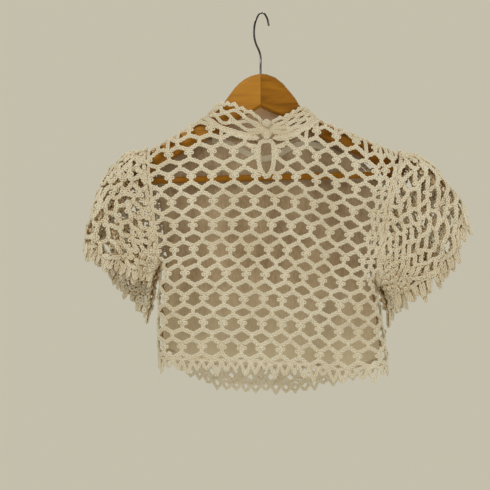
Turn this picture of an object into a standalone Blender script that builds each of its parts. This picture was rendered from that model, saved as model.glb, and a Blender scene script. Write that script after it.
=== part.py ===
"""High neck crochet top on a wooden hanger.

The cloth is a wall of openwork net. A back and a front panel meet at the shoulders and sides, a
short flutter sleeve is sewn into each armhole, and a low collar closes at the centre back with a
button over a keyhole slit. A smooth lining lies inside the front panel.

The frame's origin is the underside of the hanger hook's crown. X runs to the right as seen from
behind the garment, Y runs from its back to its front, and Z runs up. The tables are in millimetres
in that frame, and MM turns them into metres.
"""

import math

import bmesh
import bpy
import numpy as np
from mathutils import Vector

MM = 0.001

# Walls and seams, in millimetres
NET_WALL = 2.5
LINING_WALL = 1.0
SEAM_GAP = 0.4
ARMHOLE_GAP = 0.9
UNDERARM_EASE = 1.8
UNDERARM_POWER = 6
CUFF_GAP = {"left": 0.85, "right": 1.15}

# The lining: how deep it lies inside the front, its last column and its hem round
LINING_INSET = 3.6
LINING_EDGE_INSET = 2.6
LINING_SIDE = 5.9
LINING_SIDE_INSET = 5.2
LINING_HEM = 8.7
# Its scooped top edge: (repeat, round)
LINING_TOP = (
    (-5.9, 0.5),
    (-5.5, 0.2),
    (-4.5, -0.2),
    (-3.5, -0.35),
    (-2.5, -0.35),
    (-1.5, 0.15),
    (-0.5, 0.5),
    (0.5, 0.2),
    (1.5, -0.3),
    (2.5, -0.35),
    (3.5, -0.3),
    (4.5, 0.0),
    (5.5, 0.5),
    (5.9, 0.8),
)

# The net: one repeat has one bell-shaped gap, and a round is one row of repeats
ROUNDS = 9
ROUND_HEIGHT = 35.6
FIRST_ROUND_Z = -194.4
LAST_ROUND = 9.0
YOKE_ROUND = -1.0
SEAM_ROUND = -0.5
YOKE_ROWS = (YOKE_ROUND, SEAM_ROUND, -0.38, -0.22, 0.0)
BACK_COLUMNS = (-5, 7)
FRONT_COLUMNS = (-6, 6)
HALF_REPEAT = 0.5

# Corners of a bell gap, in repeats from its middle: (across, down)
BELL = ((-0.17, -0.28), (0.17, -0.28), (0.33, 0.09), (0.0, 0.34), (-0.33, 0.09))

# Shoulder line and neckline of both panels: (x, z)
SHOULDER = ((-173, -205), (-88, -155), (-40, -120), (-3, -100), (40, -122), (82, -158), (205, -209))
NECKLINE = ((-88, -155), (-70, -170), (-40, -183), (0, -189), (40, -184), (66, -171), (82, -158))
NECK_LEFT = -88
NECK_RIGHT = 82
LEAST_YOKE = 8.0
SEAM_STRIP = 3.5

# Armholes and side seams: (z, left x, right x)
SIDES = (
    (-200, -173, 206),
    (-252, -170, 190),
    (-290, -165, 181),
    (-330, -160, 174),
    (-376, -155, 168.5),
    (-402, -156.5, 167),
    (-430, -158, 174),
    (-490, -158.6, 182),
    (-530, -156, 186),
)
UNDERARM_Z = {"left": -376, "right": -402}

# How far the rounds sag towards the right: (x, first rounds, last rounds)
SAG = (
    (-160, 6, 0),
    (-100, 0, 0),
    (0, 0, 2),
    (50, 1.5, 6),
    (80, 7, 12),
    (105, 11, 14),
    (133, 19, 14),
    (165, 27, 12),
    (205, 30, 12),
)
# How much lower the front hem hangs than the back hem: (x, drop)
FRONT_DROP = (
    (-158, 0),
    (-140, 5),
    (-120, 20),
    (-97, 32),
    (-80, 40),
    (-50, 45),
    (0, 47),
    (50, 44),
    (95, 26),
    (126, 22),
    (157, 14),
    (186, 0),
)
DROP_POWER = 1.5
# The centre back line drifts to the left as the net twists: (round, x)
CENTRE_BACK = ((0.5, 3.5), (1.5, 3.5), (2.5, 0.8), (3.5, -3.3), (4.5, -8.6), (6.5, -15.6), (9, -20))
# Repeat width of the back, right of its centre: (round, width)
REPEAT_WIDTH = ((0, 30.2), (2.5, 29.3), (5, 28.0), (9, 28.5))
RIGHT_EVEN_COLUMNS = 5.5

# Half the depth between the back and front walls: (z, half depth)
HALF_DEPTH = ((-530, 32), (-400, 29), (-300, 27.5), (-245, 27), (-200, 23), (-150, 20))
TOP_ROLL = 26.0
SIDE_ROLL = 30.0
# The hanger bows the garment towards its front
BOW_START = -8.0
BOW_RISE = 20.0
BOW_REACH = 222.0
BOW_SOFT = 30.0
BOW_HEM_SHARE = 0.6
BOW_HEM_Z = -530
BOW_FULL_Z = -250
HANGER_X = -4.65
# Soft folds of the panels: (side, x, z, half width, half length, depth)
FOLDS = (
    ("back", -118, -345, 16, 90, 3.0),
    ("back", -70, -430, 20, 110, -2.5),
    ("back", 20, -470, 22, 80, 2.5),
    ("back", 96, -400, 17, 110, -3.0),
    ("back", 140, -350, 14, 80, 3.5),
    ("front", -110, -360, 18, 110, 3.0),
    ("front", -45, -470, 22, 90, -3.0),
    ("front", 35, -420, 18, 120, 2.5),
    ("front", 105, -480, 20, 80, 3.5),
    ("front", 138, -330, 14, 70, -2.5),
)

# Sleeves. The outer fold runs from the shoulder tip to the cuff: (x, z)
SLEEVE_FOLD = {
    "left": (
        (-173, -205),
        (-201, -208),
        (-222, -224),
        (-240, -247),
        (-253, -278),
        (-260, -310),
        (-268, -340),
    ),
    "right": ((205, -209), (229, -211), (249, -223), (266, -242), (280, -263), (295, -281)),
}
# The inner edge runs from the underarm to the cuff: (x, z)
SLEEVE_INNER = {
    ("left", "back"): ((-155, -376), (-159, -381), (-163, -387)),
    ("left", "front"): ((-155, -376), (-165, -408), (-172, -446)),
    ("right", "back"): ((167, -402), (178, -411), (190, -420)),
    ("right", "front"): ((167, -402), (184, -428), (189, -447)),
}
# How far the cuff bows outward between its ends
CUFF_BOW = {
    ("left", "back"): 6.0,
    ("left", "front"): 4.0,
    ("right", "back"): 28.0,
    ("right", "front"): 14.0,
}
SLEEVE_FLARE = 0.3
CUFF_INNER_OPEN = 0.55
RUFFLE_WAVES = 3
RUFFLE_DEPTH = 5.0
# Steps across and along half a sleeve; those across are closer together at both ends
SLEEVE_ACROSS = 12
SLEEVE_ALONG = 5
END_CLOSENESS = 0.4

# Edgings: strips with tabs at the cuffs and scallops at the hem
EDGE_STRIP = 4.0
TAB_LENGTH = 11.0
TAB_SHARES = (0.25, 0.75)
SCALLOP_LENGTH = 7.0
SCALLOPS_A_REPEAT = 2
SCALLOP_STEPS = 3
HEM_RUN = 0.1

# Collar: (x, z) of its scalloped top, and its ring
COLLAR_TOP = {
    "back": (
        (-80, -150),
        (-72, -141),
        (-64, -137.5),
        (-45, -139),
        (-36, -145),
        (-20, -152),
        (-4, -161),
        (10, -164),
        (30, -159),
        (50, -147),
        (58, -143),
        (66, -146),
        (74, -151),
    ),
    "front": ((-80, -150), (-60, -138), (-30, -130), (0, -127), (30, -130), (55, -138), (74, -151)),
}
COLLAR_X = -3.0
COLLAR_BASE_RADIUS = 84.5
COLLAR_TOP_RADIUS = 73.0
COLLAR_DEPTH = 24.0
COLLAR_SQUARENESS = 0.7
COLLAR_RIDGES = 3
COLLAR_RIDGE_RISE = 1.3
COLLAR_SCALLOP = 1.6
COLLAR_STEPS = {"back_left": 12, "back_right": 11, "front": 22}
SLIT_LEFT = -5.0
SLIT_RIGHT = 12.0

# Keyhole: its lowest point, and the strand round it as (repeats across, rounds down)
KEYHOLE_BOTTOM = 1.65
KEYHOLE_HALF = (
    (0.0, 0.04),
    (0.22, 0.09),
    (0.34, 0.32),
    (0.36, 0.72),
    (0.28, 1.02),
    (0.12, 1.25),
    (0.0, 1.36),
)
KEYHOLE_STRAND = 3.5
KEYHOLE_STEPS = 26
STRAND_SIDES = 6
# Button, its loop and the tab that it is sewn to
BUTTON_X = 3.5
BUTTON_Z = -170.0
BUTTON_RADIUS = 6.4
BUTTON_HALF_THICKNESS = 3.2
BUTTON_SEGMENTS = 14
BUTTON_RINGS = 8
BUTTON_ON_COLLAR = (0.05, 0.5)
LOOP_Z = -178.5
LOOP_HALF_WIDTH = 6.5
LOOP_HALF_HEIGHT = 11.0
LOOP_STRAND = 1.7
LOOP_STEPS = 18
TAB_HALF_WIDTH = 3.8
TAB_HALF_THICKNESS = 1.2
TAB_BOTTOM_Z = -185.5
TAB_TOP_Z = -174.0
TAB_OUTLINE = ((-0.45, 0.0), (0.45, 0.0), (1.0, 0.4), (1.0, 1.0), (-1.0, 1.0), (-1.0, 0.4))

# Hanger boards: (x, z) of their upper and lower edges
BOARD_TOP = (
    (-222, -247),
    (-218, -239),
    (-205, -230),
    (-173, -210),
    (-160, -199.4),
    (-108, -168.8),
    (-96, -165),
    (-82, -158),
    (-72, -147),
    (-62, -136.8),
    (-50, -120.3),
    (-43, -111.3),
    (-35.4, -103.8),
    (-26.4, -97.8),
    (-16, -93.3),
    (-4.65, -91.5),
    (4, -92.0),
    (17, -96.3),
    (29, -105.3),
    (39.6, -117.3),
    (47, -126.3),
    (54.6, -138.3),
    (64, -149),
    (76, -161),
    (90, -166.5),
    (102, -168.3),
    (182, -201.5),
    (205, -217),
    (212, -222),
    (215.5, -229),
)
BOARD_BOTTOM = (
    (-222, -252),
    (-214, -261),
    (-203, -264),
    (-190, -260),
    (-180, -247),
    (-172, -238),
    (-142, -219),
    (-88, -189),
    (-60, -172),
    (-35, -157),
    (-4.65, -141.3),
    (30, -156.3),
    (60, -171),
    (85, -186),
    (130, -206),
    (165, -222),
    (175, -232),
    (185, -247),
    (200, -250),
    (210, -244),
    (215.5, -234),
)
BOARD_HALF_THICKNESS = 7.0
BOARD_BEVEL = 3.0
BOARD_BEVEL_SHARE = 0.4
BOARD_ROUND_TURNS = range(0, 181, 30)
STATION_FROM_JOINT = 2.0
STATION_FROM_TIP = 0.5
STATION_APART = 5.0
BOARD_TIP = {"left": -222.0, "right": 215.5}
JOINT_GAP = 0.15
# Trouser bar, from board to board
BAR_LEFT = (-176.6, 11.2, -249.4)
BAR_RIGHT = (174.6, 11.2, -239.6)
BAR_RADIUS = 5.0
BAR_SIDES = 12
# The wire hook in its own upright plane, which is turned from the view: (across, z)
HOOK = (
    (0, -91.2),
    (0, -78),
    (0, -66),
    (-5, -58.5),
    (-15, -50),
    (-20, -38),
    (-17, -21),
    (-5, -5),
    (9.3, 1.5),
    (21, -3.5),
    (26, -13),
)
HOOK_TURN = math.radians(60)
HOOK_WIRE = 1.5
HOOK_STEPS = 36
HOOK_SIDES = 8

# How finely an edge and a round's line are worked out
EDGE_PASSES = 6
LINE_POINTS = 121
LEAST_FACING = -0.2

CREAM = (0.62, 0.56, 0.42)
NUDE = (0.42, 0.31, 0.2)
HONEY = (0.36, 0.17, 0.035)
STEEL = (0.3, 0.3, 0.3)


def column(table, index, at, key=0):
    """Reads one column of a table, straight between its rows."""
    rows = sorted(table, key=lambda row: row[key])
    return float(np.interp(at, [row[key] for row in rows], [row[index] for row in rows]))


def material(name, colour, roughness, metallic=0.0):
    made = bpy.data.materials.new(name)
    made.use_nodes = True
    shader = made.node_tree.nodes["Principled BSDF"]
    shader.inputs["Base Color"].default_value = (*colour, 1.0)
    shader.inputs["Roughness"].default_value = roughness
    shader.inputs["Metallic"].default_value = metallic
    return made


def add_object(name, points, faces, look):
    """Makes one closed object from points in millimetres, with its faces turned outward."""
    mesh = bpy.data.meshes.new(name)
    mesh.from_pydata([tuple(c * MM for c in p) for p in points], [], faces)
    shape = bmesh.new()
    shape.from_mesh(mesh)
    bmesh.ops.recalc_face_normals(shape, faces=shape.faces)
    if shape.calc_volume(signed=True) < 0:
        bmesh.ops.reverse_faces(shape, faces=shape.faces)
    shape.to_mesh(mesh)
    shape.free()
    mesh.materials.append(look)
    made = bpy.data.objects.new(name, mesh)
    bpy.context.collection.objects.link(made)
    return made


def round_off(distance, reach):
    """A quarter circle's height: 0 at the edge, 1 from reach inward."""
    share = min(max(distance / reach, 0.0), 1.0)
    return math.sqrt(1.0 - (1.0 - share) ** 2)


def middle_y(x, z, soft=BOW_SOFT):
    """The surface midway between back and front, bowed by the hanger."""
    away = min(math.hypot(x - HANGER_X, soft) / BOW_REACH, 1.0)
    share = np.interp(z, [BOW_HEM_Z, BOW_FULL_Z], [BOW_HEM_SHARE, 1.0])
    return BOW_START + BOW_RISE * share * math.sin(0.5 * math.pi * away)


def half_depth(z):
    return column(HALF_DEPTH, 1, z)


def side_x(side, z):
    return column(SIDES, 1 if side == "left" else 2, z)


def top_z(x):
    """The panel's upper edge: the neckline between two shoulder seams."""
    if NECK_LEFT < x < NECK_RIGHT:
        return column(NECKLINE, 1, x)
    return column(SHOULDER, 1, x)


def round_z(side, x, v):
    """Height of a round's line: v is 0 at the top of the first round and ROUNDS at the hem."""
    down = v / ROUNDS
    sag = (1 - down) * column(SAG, 1, x) + down * column(SAG, 2, x)
    level = FIRST_ROUND_Z - ROUND_HEIGHT * v - sag
    if side == "front":
        level -= column(FRONT_DROP, 1, x) * max(down, 0.0) ** DROP_POWER
    return level


def panel_z(side, x, v):
    """Height at any v, with the yoke between v = YOKE_ROUND and 0."""
    top = top_z(x)
    first = min(round_z(side, x, 0), top - LEAST_YOKE)
    if v <= 0:
        stops = [YOKE_ROUND, SEAM_ROUND, 0.0]
        return float(np.interp(v, stops, [top, top - SEAM_STRIP, first]))
    if v < 1:
        return first + (round_z(side, x, 1) - first) * v
    return round_z(side, x, v)


def fold_depth(side, x, z):
    """How far the panel's soft folds lift it outward."""
    lift = 0.0
    for on, fold_x, fold_z, wide, long, depth in FOLDS:
        if on == side:
            lift += depth * math.exp(-(((x - fold_x) / wide) ** 2) - ((z - fold_z) / long) ** 2)
    return lift


def panel_depth(side, x, z):
    """Distance of the panel from the middle surface."""
    below = column(SHOULDER, 1, x) - z
    in_from_side = math.inf
    for which, sign in (("left", 1), ("right", -1)):
        inward = max(sign * (x - side_x(which, z)), 0.0)
        above = max(z - UNDERARM_Z[which], 0.0)
        in_from_side = min(in_from_side, math.hypot(inward, above))
    rounding = round_off(below, TOP_ROLL) * round_off(in_from_side, SIDE_ROLL)
    depth = half_depth(z) * rounding + fold_depth(side, x, z) * rounding
    return max(depth, 0.5 * SEAM_GAP)


def panel_place(side, x, z):
    out = -1 if side == "back" else 1
    return np.array((x, middle_y(x, z) + out * panel_depth(side, x, z), z))


class Panel:
    """Places points of the back or front panel by repeat (across) and round (down)."""

    def __init__(self, side):
        self.side = side
        self.first, self.last = BACK_COLUMNS if side == "back" else FRONT_COLUMNS
        self.lines = {}

    def edge(self, which, v):
        x = side_x(which, FIRST_ROUND_Z)
        for _ in range(EDGE_PASSES):
            x = side_x(which, panel_z(self.side, x, v))
        return x

    def line(self, v):
        """Points across the panel along one round, and how far along it each one lies."""
        key = round(v, 5)
        if key not in self.lines:
            left, right = self.edge("left", v), self.edge("right", v)
            turn = np.linspace(0, math.pi, LINE_POINTS)
            across = left + (right - left) * 0.5 * (1 - np.cos(turn))
            places = np.array([panel_place(self.side, x, panel_z(self.side, x, v)) for x in across])
            steps = np.linalg.norm(np.diff(places, axis=0), axis=1)
            self.lines[key] = (across, np.concatenate([[0], np.cumsum(steps)]))
        return self.lines[key]

    def across(self, c, v):
        """The x of repeat c along a round."""
        xs, along = self.line(max(v, 0.0))
        left, right = self.first - HALF_REPEAT, self.last + HALF_REPEAT
        if self.side == "front":
            return float(np.interp((c - left) / (right - left) * along[-1], along, xs))
        centre = np.interp(column(CENTRE_BACK, 1, v), xs, along)
        even = centre + RIGHT_EVEN_COLUMNS * column(REPEAT_WIDTH, 1, v)
        where = np.interp(c, [left, 0, RIGHT_EVEN_COLUMNS, right], [0, centre, even, along[-1]])
        return float(np.interp(where, along, xs))

    def point(self, c, v):
        x = self.across(c, v)
        return panel_place(self.side, x, panel_z(self.side, x, v))


def outward(surface, u, v, u_range, v_range, step=0.004):
    """The surface's normal, from differences that stay inside its ranges."""
    du = step * (u_range[1] - u_range[0])
    dv = step * (v_range[1] - v_range[0])
    u0, u1 = max(u - du, u_range[0]), min(u + du, u_range[1])
    v0, v1 = max(v - dv, v_range[0]), min(v + dv, v_range[1])
    normal = np.cross(surface(u1, v) - surface(u0, v), surface(u, v1) - surface(u, v0))
    return normal / np.linalg.norm(normal)


def thick_sheet(name, keys, faces, place, normal, wall, look, rise=None):
    """Turns a flat network of faces into a closed wall: both sides, and a rim on each free edge."""
    points = []
    number = {}
    for key in keys:
        number[key] = len(points)
        middle, facing = place(*key), normal(*key)
        lift = rise(*key) if rise else 0.0
        points.append(middle + facing * (0.5 * wall + lift))
        points.append(middle - facing * 0.5 * wall)
    made = []
    edges = {}
    for face in faces:
        outer = [number[key] for key in face]
        made.append(outer)
        made.append([i + 1 for i in reversed(outer)])
        for a, b in zip(outer, outer[1:] + outer[:1]):
            if (b, a) in edges:
                del edges[(b, a)]
            else:
                edges[(a, b)] = True
    for a, b in edges:
        made.append([b, a, a + 1, b + 1])
    return add_object(name, points, made, look)


def on_chord(function, at, stops):
    """The function's value on the straight line between the two stops that at lies between."""
    k = min(max(int(np.searchsorted(stops, at)) - 1, 0), len(stops) - 2)
    share = (at - stops[k]) / (stops[k + 1] - stops[k])
    return function(stops[k]) * (1 - share) + function(stops[k + 1]) * share


def keys_of(faces):
    seen = {}
    for face in faces:
        for key in face:
            seen[key] = True
    return list(seen)


def strip_faces(columns, rows):
    """A grid of four-sided faces over two lists of positions."""
    faces = []
    for left, right in zip(columns, columns[1:]):
        for top, low in zip(rows, rows[1:]):
            faces.append([(left, top), (right, top), (right, low), (left, low)])
    return faces


def bell_faces(c, v):
    """One repeat of the net, with its bell gap left open."""
    left, right, bottom = c - HALF_REPEAT, c + HALF_REPEAT, v + 1.0
    tl, tm, tr = (left, v), (float(c), v), (right, v)
    bl, bm, br = (left, bottom), (float(c), bottom), (right, bottom)
    h = [(c + across, v + HALF_REPEAT + down) for across, down in BELL]
    return [
        [tl, tm, h[0]],
        [tm, h[1], h[0]],
        [tm, tr, h[1]],
        [tr, h[2], h[1]],
        [tr, br, h[2]],
        [br, h[3], h[2]],
        [br, bm, h[3]],
        [bm, bl, h[3]],
        [bl, h[4], h[3]],
        [bl, tl, h[4]],
        [tl, h[0], h[4]],
    ]


def keyhole_faces(v):
    """The repeat below the slit: its upper edge is open down to a point."""
    tl, tr = (-HALF_REPEAT, v), (HALF_REPEAT, v)
    bl, bm, br = (-HALF_REPEAT, v + 1.0), (0.0, v + 1.0), (HALF_REPEAT, v + 1.0)
    point = (0.0, KEYHOLE_BOTTOM)
    return [[tl, point, bl], [bl, point, bm], [bm, point, br], [tr, br, point]]


def make_panel(side, look):
    panel = Panel(side)
    faces = []
    for c in range(panel.first, panel.last + 1):
        for v in range(ROUNDS):
            if side == "back" and c == 0 and v < 2:
                if v == 1:
                    faces += keyhole_faces(1.0)
                continue
            faces += bell_faces(c, float(v))
        if side == "back" and c == 0:
            continue
        halves = [c - HALF_REPEAT, float(c), c + HALF_REPEAT]
        faces += strip_faces(halves, YOKE_ROWS)
    reach = (panel.first - HALF_REPEAT, panel.last + HALF_REPEAT)
    normal = panel_normal(panel, reach)
    thick_sheet(f"{side}_panel", keys_of(faces), faces, panel.point, normal, NET_WALL, look)
    return panel


def panel_normal(panel, reach):
    turn = 1 if panel.side == "back" else -1

    def normal(c, v):
        limit = YOKE_ROUND if v <= 0 else 0.0
        facing = outward(panel.point, c, v, reach, (limit, LAST_ROUND)) * turn
        out = -1 if panel.side == "back" else 1
        return facing if facing[1] * out > LEAST_FACING else -facing

    return normal


def make_lining(panel, look):
    """A smooth sheet just inside the front panel, with a scooped top."""
    reach = (panel.first - HALF_REPEAT, panel.last + HALF_REPEAT)
    normal = panel_normal(panel, reach)
    inner = [panel.first + HALF_REPEAT + i for i in range(panel.last - panel.first)]
    columns = [-LINING_SIDE] + inner + [LINING_SIDE]
    rows = [float(v) for v in range(ROUNDS)] + [LINING_HEM]

    def on_panel(c, v):
        return (c, column(LINING_TOP, 1, c) if v == 0 else v)

    def place(c, v):
        inset = LINING_EDGE_INSET if v == 0 else LINING_INSET
        if abs(c) >= inner[-1]:
            inset = max(inset, LINING_SIDE_INSET)
        at = on_panel(c, v)
        return panel.point(*at) - normal(*at) * inset

    def facing(c, v):
        return normal(*on_panel(c, v))

    faces = strip_faces(columns, rows)
    thick_sheet("front_lining", keys_of(faces), faces, place, facing, LINING_WALL, look)


def along_table(points, share):
    """A point at a share of a polyline's length."""
    line = np.array(points, float)
    steps = np.linalg.norm(np.diff(line, axis=0), axis=1)
    along = np.concatenate([[0], np.cumsum(steps)]) / steps.sum()
    return np.array([np.interp(share, along, line[:, k]) for k in range(2)])


class Sleeve:
    """Half a sleeve: s runs from the outer fold to the inner edge, t from the armhole to the cuff."""

    def __init__(self, hand, side):
        self.hand, self.side = hand, side
        self.fold = SLEEVE_FOLD[hand]
        self.inner = SLEEVE_INNER[hand, side]
        self.bow = CUFF_BOW[hand, side]
        self.turn = -1 if hand == "left" else 1

    def point(self, s, t):
        start, end = along_table(self.fold, t), along_table(self.inner, t)
        flat = start + (end - start) * s
        top, under = np.array(self.fold[0]), np.array(self.inner[0])
        armhole = top + (under - top) * s
        flat[0] += (1 - t) ** 2 * (side_x(self.hand, armhole[1]) - armhole[0])
        chord = end - start
        length = np.linalg.norm(chord)
        out = np.array((-chord[1], chord[0])) * self.turn / length
        out = out if out[0] * self.turn > 0 else -out
        flat = flat + out * self.bow * t * math.sin(math.pi * s)
        x, z = flat
        inner_round = round_off((1 - s) * length, SIDE_ROLL)
        inner_round = math.hypot(inner_round, CUFF_INNER_OPEN * t * math.sqrt(1 - inner_round**2))
        depth = half_depth(z) * (1 + SLEEVE_FLARE * t) * round_off(s * length, TOP_ROLL) * inner_round
        depth += RUFFLE_DEPTH * t * math.sin(2 * math.pi * RUFFLE_WAVES * s) * round_off(s * length, TOP_ROLL)
        depth = max(depth, 0.5 * SEAM_GAP)
        face = -1 if self.side == "back" else 1
        gap = ARMHOLE_GAP + UNDERARM_EASE * s**UNDERARM_POWER
        return np.array((x + self.turn * gap, middle_y(x, z) + face * depth, z))

    def normal(self, s, t):
        facing = outward(self.point, s, t, (0.0, 1.0), (0.0, 1.0))
        sign = 1 if (self.hand == "left") == (self.side == "back") else -1
        return facing * sign * -1

    def cuff_way(self, s):
        """The direction in which the cloth runs on past the cuff."""
        way = self.point(s, 1.0) - self.point(s, 1.0 - 1.0 / SLEEVE_ALONG)
        return way / np.linalg.norm(way)


def sleeve_stops():
    """Positions across half a sleeve, closer together where the cloth rolls over."""
    even = np.linspace(0, 1, SLEEVE_ACROSS + 1)
    return [float(s) for s in even + END_CLOSENESS * (0.5 - 0.5 * np.cos(math.pi * even) - even)]


def make_sleeve(hand, side, look):
    sleeve = Sleeve(hand, side)
    columns = sleeve_stops()
    rows = [float(t) for t in np.linspace(0, 1, SLEEVE_ALONG + 1)]
    faces = strip_faces(columns, rows)
    name = f"sleeve_{hand}_{side}"
    thick_sheet(name, keys_of(faces), faces, sleeve.point, sleeve.normal, NET_WALL, look)
    return sleeve


def make_cuff(sleeve, look):
    """A strip along the cuff with finger-like tabs."""
    stops = sleeve_stops()
    gap = CUFF_GAP[sleeve.hand]
    faces = []
    for a, d in zip(stops, stops[1:]):
        b, c = (a + share * (d - a) for share in TAB_SHARES)
        for near, far in ((a, b), (b, c), (c, d)):
            faces.append([(near, gap), (far, gap), (far, EDGE_STRIP), (near, EDGE_STRIP)])
        low = EDGE_STRIP + TAB_LENGTH
        faces.append([(b, EDGE_STRIP), (c, EDGE_STRIP), (c, low), (b, low)])

    def place(s, w):
        return on_chord(lambda at: sleeve.point(at, 1.0) + sleeve.cuff_way(at) * w, s, stops)

    def normal(s, w):
        return on_chord(lambda at: sleeve.normal(at, 1.0), s, stops)

    name = f"cuff_{sleeve.hand}_{sleeve.side}"
    thick_sheet(name, keys_of(faces), faces, place, normal, NET_WALL, look)


def make_hem(panel, look):
    """A strip along the hem with round scallops."""
    first, last = panel.first - HALF_REPEAT, panel.last + HALF_REPEAT
    reach = (first, last)
    count = round((last - first) * SCALLOPS_A_REPEAT * SCALLOP_STEPS)
    at = [first + (last - first) * i / count for i in range(count + 1)]
    halves = [first + HALF_REPEAT * i for i in range(round((last - first) / HALF_REPEAT) + 1)]
    normal = panel_normal(panel, reach)

    def length(i):
        return EDGE_STRIP if i % SCALLOP_STEPS == 0 else EDGE_STRIP + SCALLOP_LENGTH

    faces = []
    for i in range(count):
        a, b = at[i], at[i + 1]
        faces.append([(a, SEAM_GAP), (b, SEAM_GAP), (b, length(i + 1)), (a, length(i))])

    def below(c, w):
        way = panel.point(c, LAST_ROUND) - panel.point(c, LAST_ROUND - HEM_RUN)
        return panel.point(c, LAST_ROUND) + way / np.linalg.norm(way) * w

    def place(c, w):
        return on_chord(lambda at: below(at, w), c, halves)

    def facing(c, w):
        return on_chord(lambda at: normal(at, LAST_ROUND), c, halves)

    thick_sheet(f"hem_{panel.side}", keys_of(faces), faces, place, facing, NET_WALL, look)


class Collar:
    """The neck ring: a runs from -1 at the left to 1 at the right, w from its base to its top."""

    def __init__(self, side):
        self.side = side

    def point(self, a, w):
        turn = 0.5 * math.pi * a
        base_x = COLLAR_X + COLLAR_BASE_RADIUS * math.sin(turn)
        base = panel_place(self.side, base_x, top_z(base_x))
        base[2] += SEAM_GAP + 0.5 * NET_WALL
        x = COLLAR_X + COLLAR_TOP_RADIUS * math.sin(turn)
        z = column(COLLAR_TOP[self.side], 1, x)
        out = -1 if self.side == "back" else 1
        depth = max(COLLAR_DEPTH * abs(math.cos(turn)) ** COLLAR_SQUARENESS, 0.5 * SEAM_GAP)
        top = np.array((x, middle_y(x, z) + out * depth, z))
        return base + (top - base) * w

    def normal(self, a, w):
        facing = outward(self.point, a, w, (-1.0, 1.0), (0.0, 1.0))
        out = -1 if self.side == "back" else 1
        level = np.array((facing[0], facing[1], 0.0))
        level /= np.linalg.norm(level)
        return level if level[1] * out >= 0 else -level


def make_collar(name, side, start, end, steps, look):
    collar = Collar(side)
    columns = [float(a) for a in np.linspace(start, end, steps + 1)]
    rows = [i / (2 * COLLAR_RIDGES) for i in range(2 * COLLAR_RIDGES + 1)]
    step = (end - start) / steps
    faces = strip_faces(columns, rows)

    def rise(a, w):
        return COLLAR_RIDGE_RISE if round(w * 2 * COLLAR_RIDGES) % 2 else 0.0

    def place(a, w):
        where = collar.point(a, w)
        if w == 1.0 and round((a - start) / step) % 2:
            where[2] += COLLAR_SCALLOP
        return where

    thick_sheet(name, keys_of(faces), faces, place, collar.normal, NET_WALL, look, rise)


def smooth_line(points, count, closed=False):
    """Points along a smooth curve through the given ones."""
    pts = [np.array(p, float) for p in points]
    n = len(pts)
    spans = n if closed else n - 1
    line = []
    for k in range(count if closed else count + 1):
        where = k / count * spans
        i = min(int(where), spans - 1)
        t = where - i
        if closed:
            p0, p1, p2, p3 = (pts[(i + j) % n] for j in (-1, 0, 1, 2))
        else:
            p0, p1, p2, p3 = (pts[min(max(i + j, 0), n - 1)] for j in (-1, 0, 1, 2))
        a = 2 * p1 + (p2 - p0) * t
        b = (2 * p0 - 5 * p1 + 4 * p2 - p3) * t**2
        c = (3 * p1 - p0 - 3 * p2 + p3) * t**3
        line.append(0.5 * (a + b + c))
    return line


def tube(name, line, radii, sides, look, closed=False):
    """A round rod along a line; a closed line gives a ring."""
    count = len(line)
    points = []
    across = None
    for k, place in enumerate(line):
        ahead = line[(k + 1) % count] if closed else line[min(k + 1, count - 1)]
        behind = line[k - 1] if closed else line[max(k - 1, 0)]
        way = (ahead - behind) / np.linalg.norm(ahead - behind)
        if across is None:
            across = np.cross(way, (0.0, 1.0, 0.0))
        across = across - way * across.dot(way)
        across = across / np.linalg.norm(across)
        up = np.cross(way, across)
        radius = radii[k] if isinstance(radii, list) else radii
        for j in range(sides):
            turn = 2 * math.pi * j / sides
            points.append(place + radius * (math.cos(turn) * across + math.sin(turn) * up))
    faces = []
    for k in range(count if closed else count - 1):
        a, b = k * sides, (k + 1) % count * sides
        for j in range(sides):
            j2 = (j + 1) % sides
            faces.append([a + j, a + j2, b + j2, b + j])
    if not closed:
        faces.append(list(range(sides)))
        faces.append([(count - 1) * sides + j for j in reversed(range(sides))])
    return add_object(name, points, faces, look)


def make_keyhole(panel, look):
    right = list(KEYHOLE_HALF)
    left = [(-across, down) for across, down in reversed(right[1:-1])]
    ring = [panel.point(across, down) for across, down in right + left]
    line = smooth_line(ring, KEYHOLE_STEPS, closed=True)
    tube("keyhole_edging", line, KEYHOLE_STRAND, STRAND_SIDES, look, closed=True)


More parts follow.
